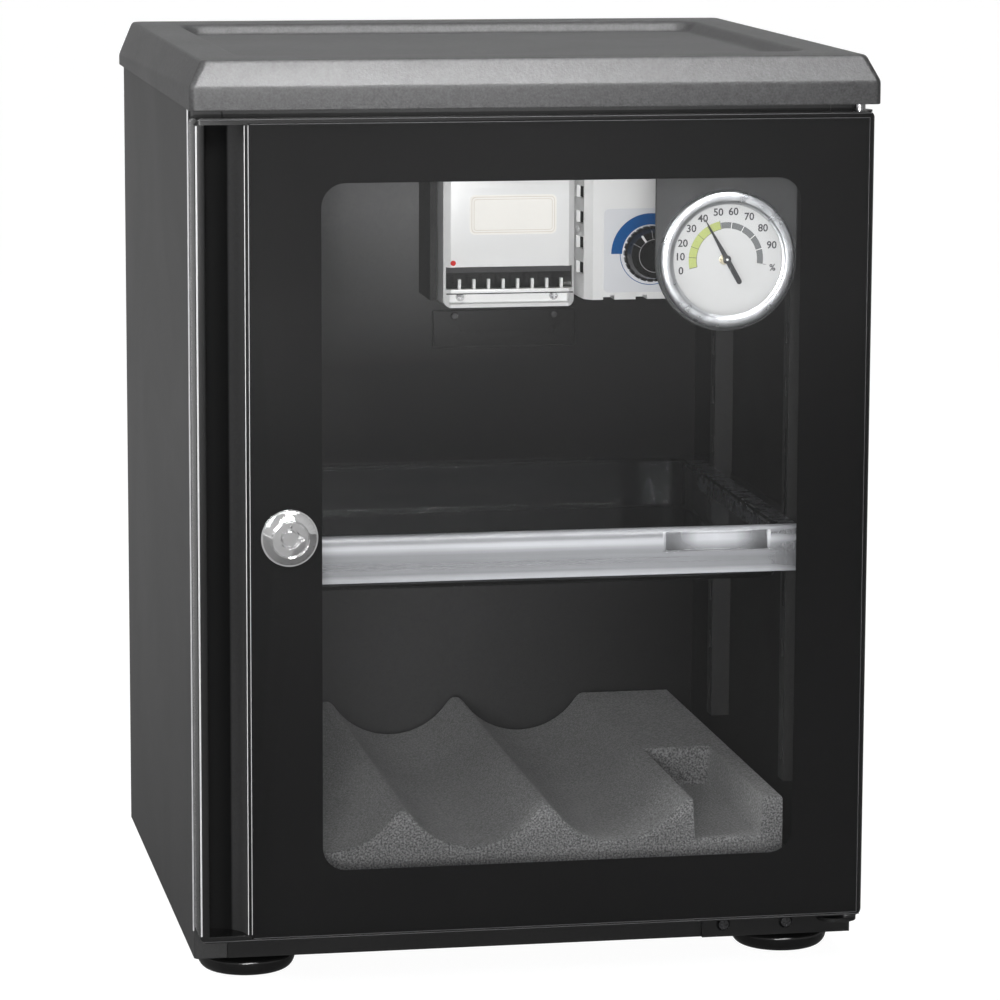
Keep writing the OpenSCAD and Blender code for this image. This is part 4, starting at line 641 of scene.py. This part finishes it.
def foamSection(x):
    # Height across the bed: a circle's arc between flat crests, with the crest's edge eased
    z = np.full_like(x, bed["top"])
    half = (bed["pitch"] - bed["flat"]) / 2
    radius = (half ** 2 + bed["depth"] ** 2) / (2 * bed["depth"])
    for c in range(bed["cradles"]):
        aside = x - bed["firstCrest"] - (c + 0.5) * bed["pitch"]
        arc = bed["top"] - bed["depth"] + radius - np.sqrt(radius ** 2 - np.clip(aside, -half, half) ** 2)
        z = np.where(np.abs(aside) < half, arc, z)
    return z


def foamGrid(ends, count, walls):
    # Even steps between the ends, closer together at both ends and at the pocket's walls
    edges = [np.linspace(ends[0], ends[0] + 3, 8), np.linspace(ends[1] - 3, ends[1], 8)]
    return np.unique(np.concatenate([np.linspace(*ends, count), *edges,
                                     *(np.linspace(wall - 2.5, wall + 2.5, 16) for wall in walls)]))


def foamBed():
    # A height over a fine grid, with the pocket's walls and the outer edges eased, closed by walls and a base
    ease = bed["round"]
    x = foamGrid(bed["x"], 190, bed["pocketX"])
    y = foamGrid(bed["y"], 60, [bed["pocketEnd"]])
    wide = np.linspace(-2.4, 2.4, 25)
    section = np.mean([foamSection(x + w) for w in wide], axis=0)  # the crest's edges are eased by averaging
    gridX, gridY = np.meshgrid(x, y, indexing="ij")
    z = np.repeat(section[:, None], len(y), axis=1)
    inX = np.minimum(gridX - bed["pocketX"][0], bed["pocketX"][1] - gridX)
    inPocket = np.minimum(inX, bed["pocketEnd"] - gridY)
    wall = np.clip(0.5 + inPocket / ease, 0, 1)
    wall = wall * wall * (3 - 2 * wall)
    z = z + (bed["pocketFloor"] - z) * wall
    rim = np.minimum(np.minimum(gridX - bed["x"][0], bed["x"][1] - gridX),
                     np.minimum(gridY - bed["y"][0], bed["y"][1] - gridY))
    z = z - ease * (1 - np.sqrt(np.clip(1 - np.clip(1 - rim / ease, 0, 1) ** 2, 0, 1)))
    across = np.sin(gridX * 0.9 + 1.3 * np.sin(gridY * 0.21))
    ripple = bed["ripple"] * across * np.sin(gridY * 0.8 + np.sin(gridX * 0.33))
    z = z + ripple * np.clip(rim / 4, 0, 1) - bed["ripple"]
    top = np.stack([gridX, gridY, z], -1).reshape(-1, 3)
    count = len(top)
    index = np.arange(count).reshape(len(x), len(y))
    around = np.concatenate([index[:-1, 0], index[-1, :-1], index[:0:-1, -1], index[0, :0:-1]])
    foot = top[around].copy()
    foot[:, 2] = bed["base"]
    rows = [around]
    points = [top]
    for k, share in enumerate(np.linspace(0.2, 1, 5)):
        wallPoints = top[around] + (foot - top[around]) * share
        points.append(wallPoints)
        rows.append(count + k * len(around) + np.arange(len(around)))
    faces = gridFaces(len(x), len(y)).tolist()
    for a, b in zip(rows[:-1], rows[1:]):
        faces += np.column_stack([a, b, np.roll(b, -1), np.roll(a, -1)]).tolist()
    faces.append(rows[-1].tolist())
    piece = addPiece("foamBed", np.concatenate(points), faces, finishes["foam"], "cabinet", 60,
                     replaced=["foam_insert"])
    return piece


foamBed()
print("foam bed made")


grip = dict(width=25.0, depth=25.2, edge=3.0, lip=5.1, scoop=17.0, scoopWidth=18.9, bottom=2.5, ends=3.2,
            height=410.4, lipRound=0.9, nose=0.5, land=0.45)


def fingerGrip():
    # One section with a lip and a quarter-ellipse scoop, its front edges eased by quarter circles, carried up
    # the door between its frame's ends
    lip, bottom, wide = grip["lip"], grip["bottom"], grip["scoopWidth"]
    turn = np.linspace(0, pi / 2, 7)
    inner = np.column_stack([lip + bottom - bottom * np.cos(turn),
                             grip["scoop"] - bottom + bottom * np.sin(turn)])
    sweep = np.linspace(0, pi / 2, 30)
    ellipse = np.column_stack([lip + bottom + (wide - bottom) * np.sin(sweep), grip["scoop"] * np.cos(sweep)])
    mouth = np.concatenate([inner, ellipse[1:]])
    r, d = grip["lipRound"], np.linspace(0, pi / 2, 6)
    rearCorner = np.column_stack([grip["edge"] - grip["edge"] * np.sin(d),
                                  grip["depth"] - grip["edge"] + grip["edge"] * np.cos(d)])
    nose = grip["nose"]
    frontCorner = np.column_stack([nose - nose * np.cos(d), nose - nose * np.sin(d)])
    lipEdge = np.column_stack([lip - r + r * np.sin(d), r - r * np.cos(d)])
    land = grip["land"]
    landEdge = np.column_stack([grip["width"] - land + land * np.sin(d), land - land * np.cos(d)])
    mouth[-1] += [land, 0]
    section = np.concatenate([[[grip["width"], grip["depth"]]], rearCorner, frontCorner, lipEdge, mouth,
                              landEdge])
    points = np.concatenate([np.column_stack([section, np.full(len(section), z)])
                             for z in (grip["ends"], grip["height"] - grip["ends"])])
    return addPiece("fingerGrip", points, skin(2, len(section)), gripFinishWithPaintedLight(), "door", 38,
                    replaced=["grip_channel"])


fingerGrip()
print("finger grip made")


foot = dict(places=[(30.0, 55.0), (310.0, 55.0), (30.0, 307.0), (310.0, 307.0)], low=-27.0, height=12.0,
            pad=19.5, radius=25.0, rise=7.2, neck=11.0, recess=5.0, recessDepth=4.0)


def domedFeet():
    # A pad, a quarter ellipse out to the widest ring and a soft return to the neck
    t = np.linspace(0, pi / 2, 14)
    edge = np.column_stack([foot["pad"] + (foot["radius"] - foot["pad"]) * np.sin(t),
                            foot["rise"] * (1 - np.cos(t))])
    upper = roundPath([edge[-1], (foot["radius"] - 0.6, foot["rise"] + 1.2),
                       (foot["neck"] + 3, foot["height"] - 1.2), (foot["neck"], foot["height"])], 2.0, 4)
    profile = np.concatenate([[[0, foot["recessDepth"]], [foot["recess"], foot["recessDepth"]],
                               [foot["recess"], 0.3], [foot["recess"] + 0.3, 0.0]], edge, upper[1:],
                              [[0, foot["height"]]]])
    profile[:, 1] += foot["low"]
    points, faces = [], []
    for k, place in enumerate(foot["places"]):
        ring, skins = turned(profile, place, upright=True, steps=80)
        points.append(ring)
        faces += (np.array(skins) + k * len(ring)).tolist()
    return addPiece("domedFeet", np.concatenate(points), faces, finishes["foot_rubber"], "cabinet",
                    50, replaced=["feet"])


domedFeet()
print("feet made")


meter = dict(x=266.5, z=337.0, dialY=8.9, ink=0.05,
             ticks=[193.3, 176.3, 159.8, 139.5, 121.0, 100.9, 82.3, 61.9, 39.8, 16.3, -8.0],
             green=(15.4, 19.4), grey=(15.5, 18.6), figureRadius=23.9, figureHeight=3.6)


def meterBezel():
    # A rolled ring: a broad dome, a fine step and an inner lip over the crystal
    profile = roundPath([(29.0, 8.9), (29.0, 6.1), (27.8, 6.1), (27.85, 5.75), (28.9, 5.55), (29.6, 5.0),
                         (32.0, 4.9), (34.0, 5.7), (34.4, 7.2), (34.4, 9.1), (31.0, 9.1), (31.0, 8.9)],
                        [0, 0, 0.1, 0.2, 0.4, 0.5, 1.2, 1.2, 0.8, 0.15, 0.1, 0], steps=5, closed=True)
    points, faces = turned(profile, (meter["x"], meter["z"]), steps=160, closed=True)
    return addPiece("meterBezel", points, faces, satin, "door", 50,
                    replaced=["hygrometer_bezel"])


def meterFace():
    # Two bands, their divisions and plain figures
    y = meter["dialY"] - meter["ink"]
    where = (meter["x"], y, meter["z"])
    ticks = meter["ticks"]
    green = Marks(*where)
    green.arc(*meter["green"], ticks[0], ticks[5])
    green.printed("meterGreenBand", greenInk, "door")
    grey = Marks(*where)
    grey.arc(*meter["grey"], ticks[5] - 0.8, ticks[10])
    grey.printed("meterGreyBand", bandInk, "door")
    over = (meter["x"], y - 0.03, meter["z"])
    dark = Marks(*over)
    pale = Marks(*over)
    for k, angle in enumerate(ticks):
        if k <= 5:
            dark.bar(angle, meter["green"][0], meter["green"][1] + (0.4 if k in (0, 5) else 0), 0.22)
        else:
            pale.bar(angle, meter["grey"][0] - 0.1, meter["grey"][1] + 0.1, 0.3)
    dark.bar(ticks[10], meter["grey"][0], meter["grey"][1] + 1.6, 0.22)
    dark.arc(meter["green"][0] - 0.12, meter["green"][0] + 0.06, ticks[0], ticks[5])
    for k, angle in enumerate([*ticks[:10], ticks[10] - 3]):
        a, r = radians(angle), meter["figureRadius"]
        text, share = (str(k * 10), 1) if k < 10 else ("%", 0.9)
        dark.figures(text, r * cos(a), r * sin(a), meter["figureHeight"] * share)
    dark.printed("meterFigures", greyInk, "door")
    pale.printed("meterDivisions", whiteInk, "door")


def needleCap():
    # A domed hub over the needle, a white dot in it and a brass boss behind
    hub = roundPath([(0, 7.38), (1.6, 7.38), (2.1, 7.6), (2.1, 8.3), (0, 8.3)], 0.25, 4)
    points, faces = turned(hub, (meter["x"], meter["z"]), steps=40)
    addPiece("needleHub", points, faces, finishes["needle_paint"], "hygrometer_pointer", 50)
    whiteDot = Marks(meter["x"], 7.36, meter["z"])
    whiteDot.arc(0.0, 0.6, 0, 360)
    whiteDot.printed("needleWhiteDot", whiteInk, "hygrometer_pointer")
    boss = roundPath([(0, 8.45), (2.3, 8.45), (2.6, 8.6), (2.6, 8.88), (0, 8.88)], 0.15, 3)
    points, faces = turned(boss, (meter["x"] - 1.3, meter["z"]), steps=40)
    addPiece("needleBoss", points, faces, brass, "door", 50)


meterBezel()
meterFace()
needleCap()
print("hygrometer made")


label = dict(x=(186.2, 235.3), z=(321.5, 343.6), y=283.7, r=3.0, lines=[(1.0, 0.35), (2.3, 0.3)])
panel = dict(x=289.8, z=309.2, y=286.7, band=(16.3, 22.6), bandTurn=(180.0, 62.0), ring=(17.3, 17.7),
             ringTurn=(180.0, 322.0), mark=(125.0, 9.2, 13.6, 1.3), markY=274.3,
             hub=(9.0, 9.45), spokes=[(turn, 9.4, 14.3, 0.4) for turn in (151.0, 99.0, -66.0)])


blank = dict(sides=(173.0, 253.7, 254.0, 274.0), wall=325.0, joint=1.1, lap=0.2, corner=0.8)
outlet = dict(x=(173.3, 244.9), y=(283.0, 299.2), z=(291.0, 303.4), shade=0.3, setBack=4.2, brow=3.4,
              browY=(5.4, 7.4), firstRib=180.8, ribs=8, pitch=8.26, rib=1.5, ribTop=296.5,
              ribY=(285.0, 288.0), joint=(173.2, 245.0, 288.3, 288.9))


def labelLines():
    # Two round-cornered lines round the drying unit's label
    lines = Marks(0, label["y"] - 0.04, 0)
    (x0, x1), (z0, z1) = label["x"], label["z"]
    for inset, width in label["lines"]:
        lines.between(*(rectangleRing(x0 + edge, x1 - edge, z0 + edge, z1 - edge, label["r"] - edge * 0.6)
                        for edge in (inset, inset + width)))
    return lines.printed("labelLines", labelLine, "cabinet")


def controlPrint():
    # The blue band over the knob and the fine ring that goes on under it
    ink = Marks(panel["x"], panel["y"] - 0.04, panel["z"])
    ink.arc(*panel["band"], *panel["bandTurn"])
    ink.arc(*panel["ring"], *panel["ringTurn"])
    return ink.printed("controlPrint", blueInk, "cabinet")


def knobMark():
    # The knob's white mark, and its hub and spokes as grey hairlines
    mark = Marks(panel["x"], panel["markY"] - 0.05, panel["z"])
    mark.bar(*panel["mark"])
    mark.printed("knobMark", whiteInk, "humidity_dial")
    outline = Marks(panel["x"], panel["markY"] - 0.03, panel["z"])
    outline.arc(*panel["hub"], 0, 360)
    for spoke in panel["spokes"]:
        outline.bar(*spoke)
    return outline.printed("knobOutline", knobLine, "humidity_dial")


def outletShade():
    # Painted shade: a black lining inside the drying unit's outlet, open to the front, and a dim grey sheet
    # for painted half-shade on the slope under its upper edge
    inset = outlet["shade"]
    x = (outlet["x"][0] + inset, outlet["x"][1] - inset)
    y = (outlet["y"][0] + outlet["setBack"], outlet["y"][1] - inset)
    z = (outlet["z"][0] + inset, outlet["z"][1] - inset)
    addPiece("outletShade", boxPoints(x, y, z), boxSides[[0, 1, 3, 4, 5], ::-1].tolist(), knobBlack,
             "cabinet", facing=(0, -1, 0))
    near, far = (outlet["y"][0] + edge for edge in outlet["browY"])
    top, low = z[1] - 0.1, z[1] - outlet["brow"]
    brow = [(x[0], near, top), (x[1], near, top), (x[1], far, low), (x[0], far, low)]
    return addPiece("outletBrow", brow, [[0, 1, 2, 3]], paintedDimLight, "cabinet",
                    facing=(0, -1, 0))


def outletRibs():
    # Upright ribs at even steps along the outlet's floor
    points, faces = [], []
    for k in range(outlet["ribs"]):
        middle = outlet["firstRib"] + k * outlet["pitch"]
        across = (middle - outlet["rib"] / 2, middle + outlet["rib"] / 2)
        points.append(boxPoints(across, outlet["ribY"], (outlet["z"][0], outlet["ribTop"])))
        faces += (boxSides + 8 * k).tolist()
    return addPiece("outletRibs", np.concatenate(points), faces, finishes["pale_plastic"], "cabinet")


def outletLine():
    # The dark joint under the outlet's shelf
    line = Marks(0, label["y"] + 0.26, 0)
    line.strip(*outlet["joint"])
    return line.printed("outletLine", finishes["black_plastic"], "cabinet")


def paintedEdgeHighlights():
    # Painted highlights as hairlines on the glass's edge and the door's rims: x0, x1, z0, z1 at one depth
    # each
    for name, finish, y, strips in (
            ("paintedGlassEdgeHighlight", paintedHighlight, 0.27, [(26.05, 26.4, 3.4, 407.0)]),
            ("paintedGripEdgeHighlight", paintedHighlight, -0.03, [(24.1, 24.5, 3.6, 406.8), (0.4, 1.25, 3.6, 406.8)]),
            ("paintedDimGlassEdgeHighlight", paintedDimLight, 0.27, [(27, 337.2, 407.2, 407.5), (27, 337.2, 1.4, 1.7),
                                             (336.9, 337.2, 1.8, 407.1)]),
            ("paintedDimRimHighlight", paintedDimLight, -0.03, [(1.5, 338.5, 409.5, 409.8), (1.5, 338.5, 0.5, 0.8)])):
        lines = Marks(0, y, 0)
        for strip in strips:
            lines.strip(*strip)
        lines.printed(name, finish, "door")


def paintedFoldHighlight():
    # A slim bright bead beside the door, a painted highlight for the side panel's front fold
    return addPiece("paintedFoldHighlight", boxPoints((-0.5, 0.1), (25.8, 27.0), (0.0, 413.6)), boxSides.tolist(),
                    paintedHighlight, "cabinet")


def plateLine():
    # The dark joint round the blanking plate, from just under its edge outwards
    line = Marks(0, blank["wall"] - 0.08, 0)
    x0, x1, z0, z1 = blank["sides"]
    line.between(*(rectangleRing(x0 - edge, x1 + edge, z0 - edge, z1 + edge, blank["corner"] + edge)
                   for edge in (-blank["lap"], blank["joint"])))
    return line.printed("plateLine", knobBlack, "cabinet")


# Print, dark joints, painted highlights, the outlet's painted shade and its ribs
labelLines()
controlPrint()
knobMark()
outletLine()
paintedEdgeHighlights()
paintedFoldHighlight()
plateLine()
outletShade()
outletRibs()
print("printed marks made")


tray = dict(basin=(34.0, 306.0, 46.0, 270.0), corner=12.0, low=168.0, top=196.0, wall=2.0,
            rim=(20.0, 320.0, 46.5, 278.0), lipX=(18.0, 322.0), lipLow=172.5, lipFront=40.0, lipWall=1.9,
            pullX=(243.6, 298.3), pullZ=(184.5, 193.3), pullDepth=0.9)


def trayBasin():
    # Rings from under the basin's floor up its walls, out round the rim's edge and down inside to the floor
    b, w, r = tray["basin"], tray["wall"], tray["corner"]
    inside, middle = ((b[0] + inset, b[1] - inset, b[2] + inset, b[3] - inset) for inset in (w, 20))
    low, top = tray["low"], tray["top"]
    path = [[*sides, corner, z] for sides, corner, z in (
        (middle, 4, low), (b, r, low), (b, r, top - w), (tray["rim"], 3, top - w), (tray["rim"], 3, top),
        (inside, r - w, top), (inside, r - w, low + w), (middle, 4, low + w))]
    rings = []
    for x0, x1, y0, y1, corner, z in roundPath(path, [0, 4.0, 1.5, 0.5, 0.7, 1.2, 3.0, 0], 5):
        ring = rectangleRing(x0, x1, y0, y1, corner, 8)
        rings.append(np.column_stack([ring, np.full(len(ring), z)]))
    return addPiece("trayBasin", np.concatenate(rings), skin(len(rings), len(rings[0])),
                    finishes["clear_plastic"], "tray", 45, replaced=["shelf_tray"])


def trayLip():
    # A rolled apron: one profile of depth and height swept along the shelf's front, with a sunk pull
    front, top, low, wall = tray["lipFront"], tray["top"], tray["lipLow"], tray["lipWall"]
    outer = roundPath([(front + 6.2, top), (front + 0.6, top), (front, top - 9), (front + 0.2, low + 3),
                       (front + 1.2, low)], [0, 5.0, 5.0, 2.5, 0], 8)
    run = np.concatenate([[0], np.cumsum(np.linalg.norm(np.diff(outer, axis=0), axis=1))])
    even = np.linspace(0, run[-1], 90)
    outer = np.column_stack([np.interp(even, run, outer[:, k]) for k in (0, 1)])
    along = np.gradient(outer, axis=0)
    along /= np.linalg.norm(along, axis=1)[:, None]
    inner = outer + np.column_stack([-along[:, 1], along[:, 0]]) * wall
    section = np.concatenate([outer, inner[::-1]])
    x = np.unique(np.concatenate([np.linspace(*tray["lipX"], 60)]
                                 + [np.linspace(edge - 1.2, edge + 1.2, 9) for edge in tray["pullX"]]))
    gridX, k = np.meshgrid(x, np.arange(len(section)), indexing="ij")
    y, z = section[k, 0], section[k, 1]
    within = np.minimum(gridX - tray["pullX"][0], tray["pullX"][1] - gridX)
    within = np.minimum(within, np.minimum(z - tray["pullZ"][0], tray["pullZ"][1] - z))
    sunk = np.clip(0.5 + within / 0.9, 0, 1)
    y = y + np.where(k < len(outer), tray["pullDepth"] * sunk * sunk * (3 - 2 * sunk), 0)
    points = np.stack([gridX, y, z], -1).reshape(-1, 3)
    return addPiece("trayLip", points, skin(len(x), len(section)), frostedWithPaintedLight, "tray", 50)


trayBasin()
trayLip()
print("shelf tray made")


softEdges = dict(side_panel_left=0.7, side_panel_right=0.7, bottom_pan=0.3, door_frame=0.5, dryer_cover=0.6,
                 control_case=0.7, hygrometer_holder=0.4, hygrometer_case=0.3, lock_body=0.22,
                 lock_plug=0.15, control_knob=0.25, blanking_plate=0.3, hinge_plate_bottom=0.3,
                 hinge_plate_top=0.3, rear_vent_cover=0.4, power_inlet=0.25, dryer_bracket=0.3,
                 shelf_rails_left=0.25, shelf_rails_right=0.25)
openings = dict(dryer_cover=tuple(zip(outlet["x"], outlet["y"], outlet["z"])))
for node, width in softEdges.items():
    softened(node, width, finishOf[node], opening=openings.get(node))
print("edges softened")


# The studio: the floor's half width, white and paper, how much of its own light shows, and bright cards that
# only reflections see, each a unit direction, outer and inner half angle and strength
studio = dict(floor=30.0, white=1.12, paper=(0.86, 0.86, 0.86), glowShare=0.86, fill=0.16,
              cards=[((0.06, -0.79, 0.61), 15, 7, 66.0), ((0.115, -0.27, 0.95), 15, 7, 40.0)])


def directRays(tree):
    # One for what the camera sees directly, in a mirror or through glass, and the share of mirror rays
    rays = tree.nodes.new("ShaderNodeLightPath").outputs
    mirror = rays["Is Glossy Ray"]
    seen = mathNode(tree, "MAXIMUM", rays["Is Camera Ray"], mirror)
    return mathNode(tree, "MAXIMUM", seen, rays["Is Transmission Ray"]), mirror


def studioFloor():
    # A pale floor that shows white where no shadow falls and is darker in reflections, by how far in front of
    # the cabinet and how far aside it is met
    mesh = bpy.data.meshes.new("studioFloor")
    size = studio["floor"]
    mesh.from_pydata([(-size, -size, 0), (size, -size, 0), (size, size, 0), (-size, size, 0)], [],
                     [(0, 1, 2, 3)])
    floor = linked("studioFloor", mesh)
    material, tree, where, out = emptyMaterial("paleFloor")
    drift = stretched(tree, noise(tree, where, 3.0, 4.0), 0.3, 0.7, 0.985, 1.015)
    paper = principled(tree, tinted(tree, studio["paper"], drift), 0.9)
    place = axes(tree, where)
    seen, mirror = directRays(tree)
    far = times(tree, place[1], -1.0)
    depth = plus(tree, stretched(tree, far, 0.3, 1.9, 0.04, 0.34), stretched(tree, far, 1.9, 3.0, 0.0, 0.6))
    slant = mathNode(tree, "DIVIDE", place[0], mathNode(tree, "MAXIMUM", far, 0.3))
    aside = plus(tree, stretched(tree, slant, 0.03, 0.11, 0.7, 0.1),
                 stretched(tree, slant, 0.11, 0.35, 0.5, 0.25))
    behind = stretched(tree, place[1], 0.0, 1.5, 0.1, 0.4)
    mirrored = mathNode(tree, "MAXIMUM", times(tree, depth, aside), behind)
    tone = plus(tree, times(tree, mirror, mirrored),
                times(tree, mathNode(tree, "SUBTRACT", 1.0, mirror), studio["white"]))
    glow = addNode(tree, "Emission", {"Color": (1, 1, 1, 1), "Strength": tone})
    tree.links.new(mixed(tree, times(tree, seen, studio["glowShare"]), paper.outputs[0], glow.outputs[0]),
                   out.inputs[0])
    mesh.materials.append(material)


def aimed(holder, place, aim):
    # Turned so that its own downward axis meets the aim
    away = np.array(aim, float) - np.array(place, float)
    down = away / np.linalg.norm(away)
    side = np.cross(down, [0, 0, 1.0])
    side /= np.linalg.norm(side)
    placed(holder, place, side, np.cross(side, down), -down)


def placed(holder, place, side, up, back):
    # The holder at a place, its own axes along side, up and back
    turn = Matrix([[*row, 0] for row in np.column_stack([side, up, back])] + [[0, 0, 0, 1]])
    holder.matrix_world = Matrix.Translation(place) @ turn


def softbox(name, place, aim, size, power):
    # A rectangle of soft light
    lamp = bpy.data.lights.new(name, "AREA")
    lamp.shape, lamp.size, lamp.size_y, lamp.energy = "RECTANGLE", size[0], size[1], power
    aimed(linked(name, lamp), place, aim)


def spotlight(name, place, aim, cone, power):
    # A soft narrow beam into the upper half of the cabinet
    lamp = bpy.data.lights.new(name, "SPOT")
    lamp.spot_size, lamp.spot_blend, lamp.shadow_soft_size, lamp.energy = radians(cone), 1.0, 0.12, power
    aimed(linked(name, lamp), place, aim)


def studioWorld():
    # White to the camera, dim with bright cards in reflections, and plain even light on matt surfaces
    world = bpy.data.worlds.new("studioWorld")
    bpy.context.scene.world = world
    world.use_nodes = True
    tree = world.node_tree
    tree.nodes.clear()
    out = tree.nodes.new("ShaderNodeOutputWorld")
    seen, mirror = directRays(tree)
    where = tree.nodes.new("ShaderNodeTexCoord").outputs["Generated"]
    mirrored = stretched(tree, axes(tree, where)[1], -0.6, 0.3, 0.5, 0.34)
    for toCard, edge, core, power in studio["cards"]:
        near = addNode(tree, "VectorMath", {0: where, 1: toCard}, operation="DOT_PRODUCT").outputs["Value"]
        card = stretched(tree, near, cos(radians(edge)), cos(radians(core)), 0.0, power)
        mirrored = plus(tree, mirrored, card)
    strength = plus(tree, times(tree, mirror, mirrored), mathNode(tree, "SUBTRACT", 1.0, mirror))
    plain = addNode(tree, "Background", {"Color": (1, 1, 1, 1), "Strength": studio["fill"]})
    white = addNode(tree, "Background", {"Color": (1, 1, 1, 1), "Strength": strength})
    tree.links.new(mixed(tree, seen, plain.outputs[0], white.outputs[0]), out.inputs[0])


studioFloor()
studioWorld()
softbox("frontKey", (-0.55, -2.85, 0.54), (0, 0, 0.25), (0.7, 0.4), 34)
spotlight("upperFill", (-0.5, -2.75, 0.5), (0.05, 0.1, 0.42), 8.0, 175)
softbox("chamferLight", (0.0, -1.97, 1.95), (0, 0, 0.42), (1.0, 0.5), 9)
softbox("leftSide", (-1.95, -0.6, 1.45), (0, 0, 0.3), (0.9, 1.2), 38)
softbox("topBack", (0.1, 0.5, 2.3), (0, 0.1, 0.45), (1.2, 1.0), 14)

view = dict(place=(-0.41851935, -2.29635494, 0.60906271), yaw=10.62853229, pitch=-9.49285325, roll=0.22924087,
            lens=159.520104, sensor=36.0, near=0.05, far=60.0)


def studioCamera():
    # The photograph's view: yaw from the depth axis, pitch, then roll about the line of sight, in degrees
    lens = bpy.data.cameras.new("photoView")
    lens.sensor_fit, lens.sensor_width, lens.lens = "HORIZONTAL", view["sensor"], view["lens"]
    lens.clip_start, lens.clip_end = view["near"], view["far"]
    camera = linked("photoView", lens)
    yaw, pitch, roll = (radians(view[k]) for k in ("yaw", "pitch", "roll"))
    ahead = np.array([sin(yaw) * cos(pitch), cos(yaw) * cos(pitch), sin(pitch)])
    right = np.array([cos(yaw), -sin(yaw), 0.0])
    up = np.cross(right, ahead)
    side, top = right * cos(roll) + up * sin(roll), up * cos(roll) - right * sin(roll)
    placed(camera, view["place"], side, top, -ahead)
    bpy.context.scene.camera = camera


studioCamera()
bpy.context.scene.view_settings.view_transform = "Standard"
print("studio set")
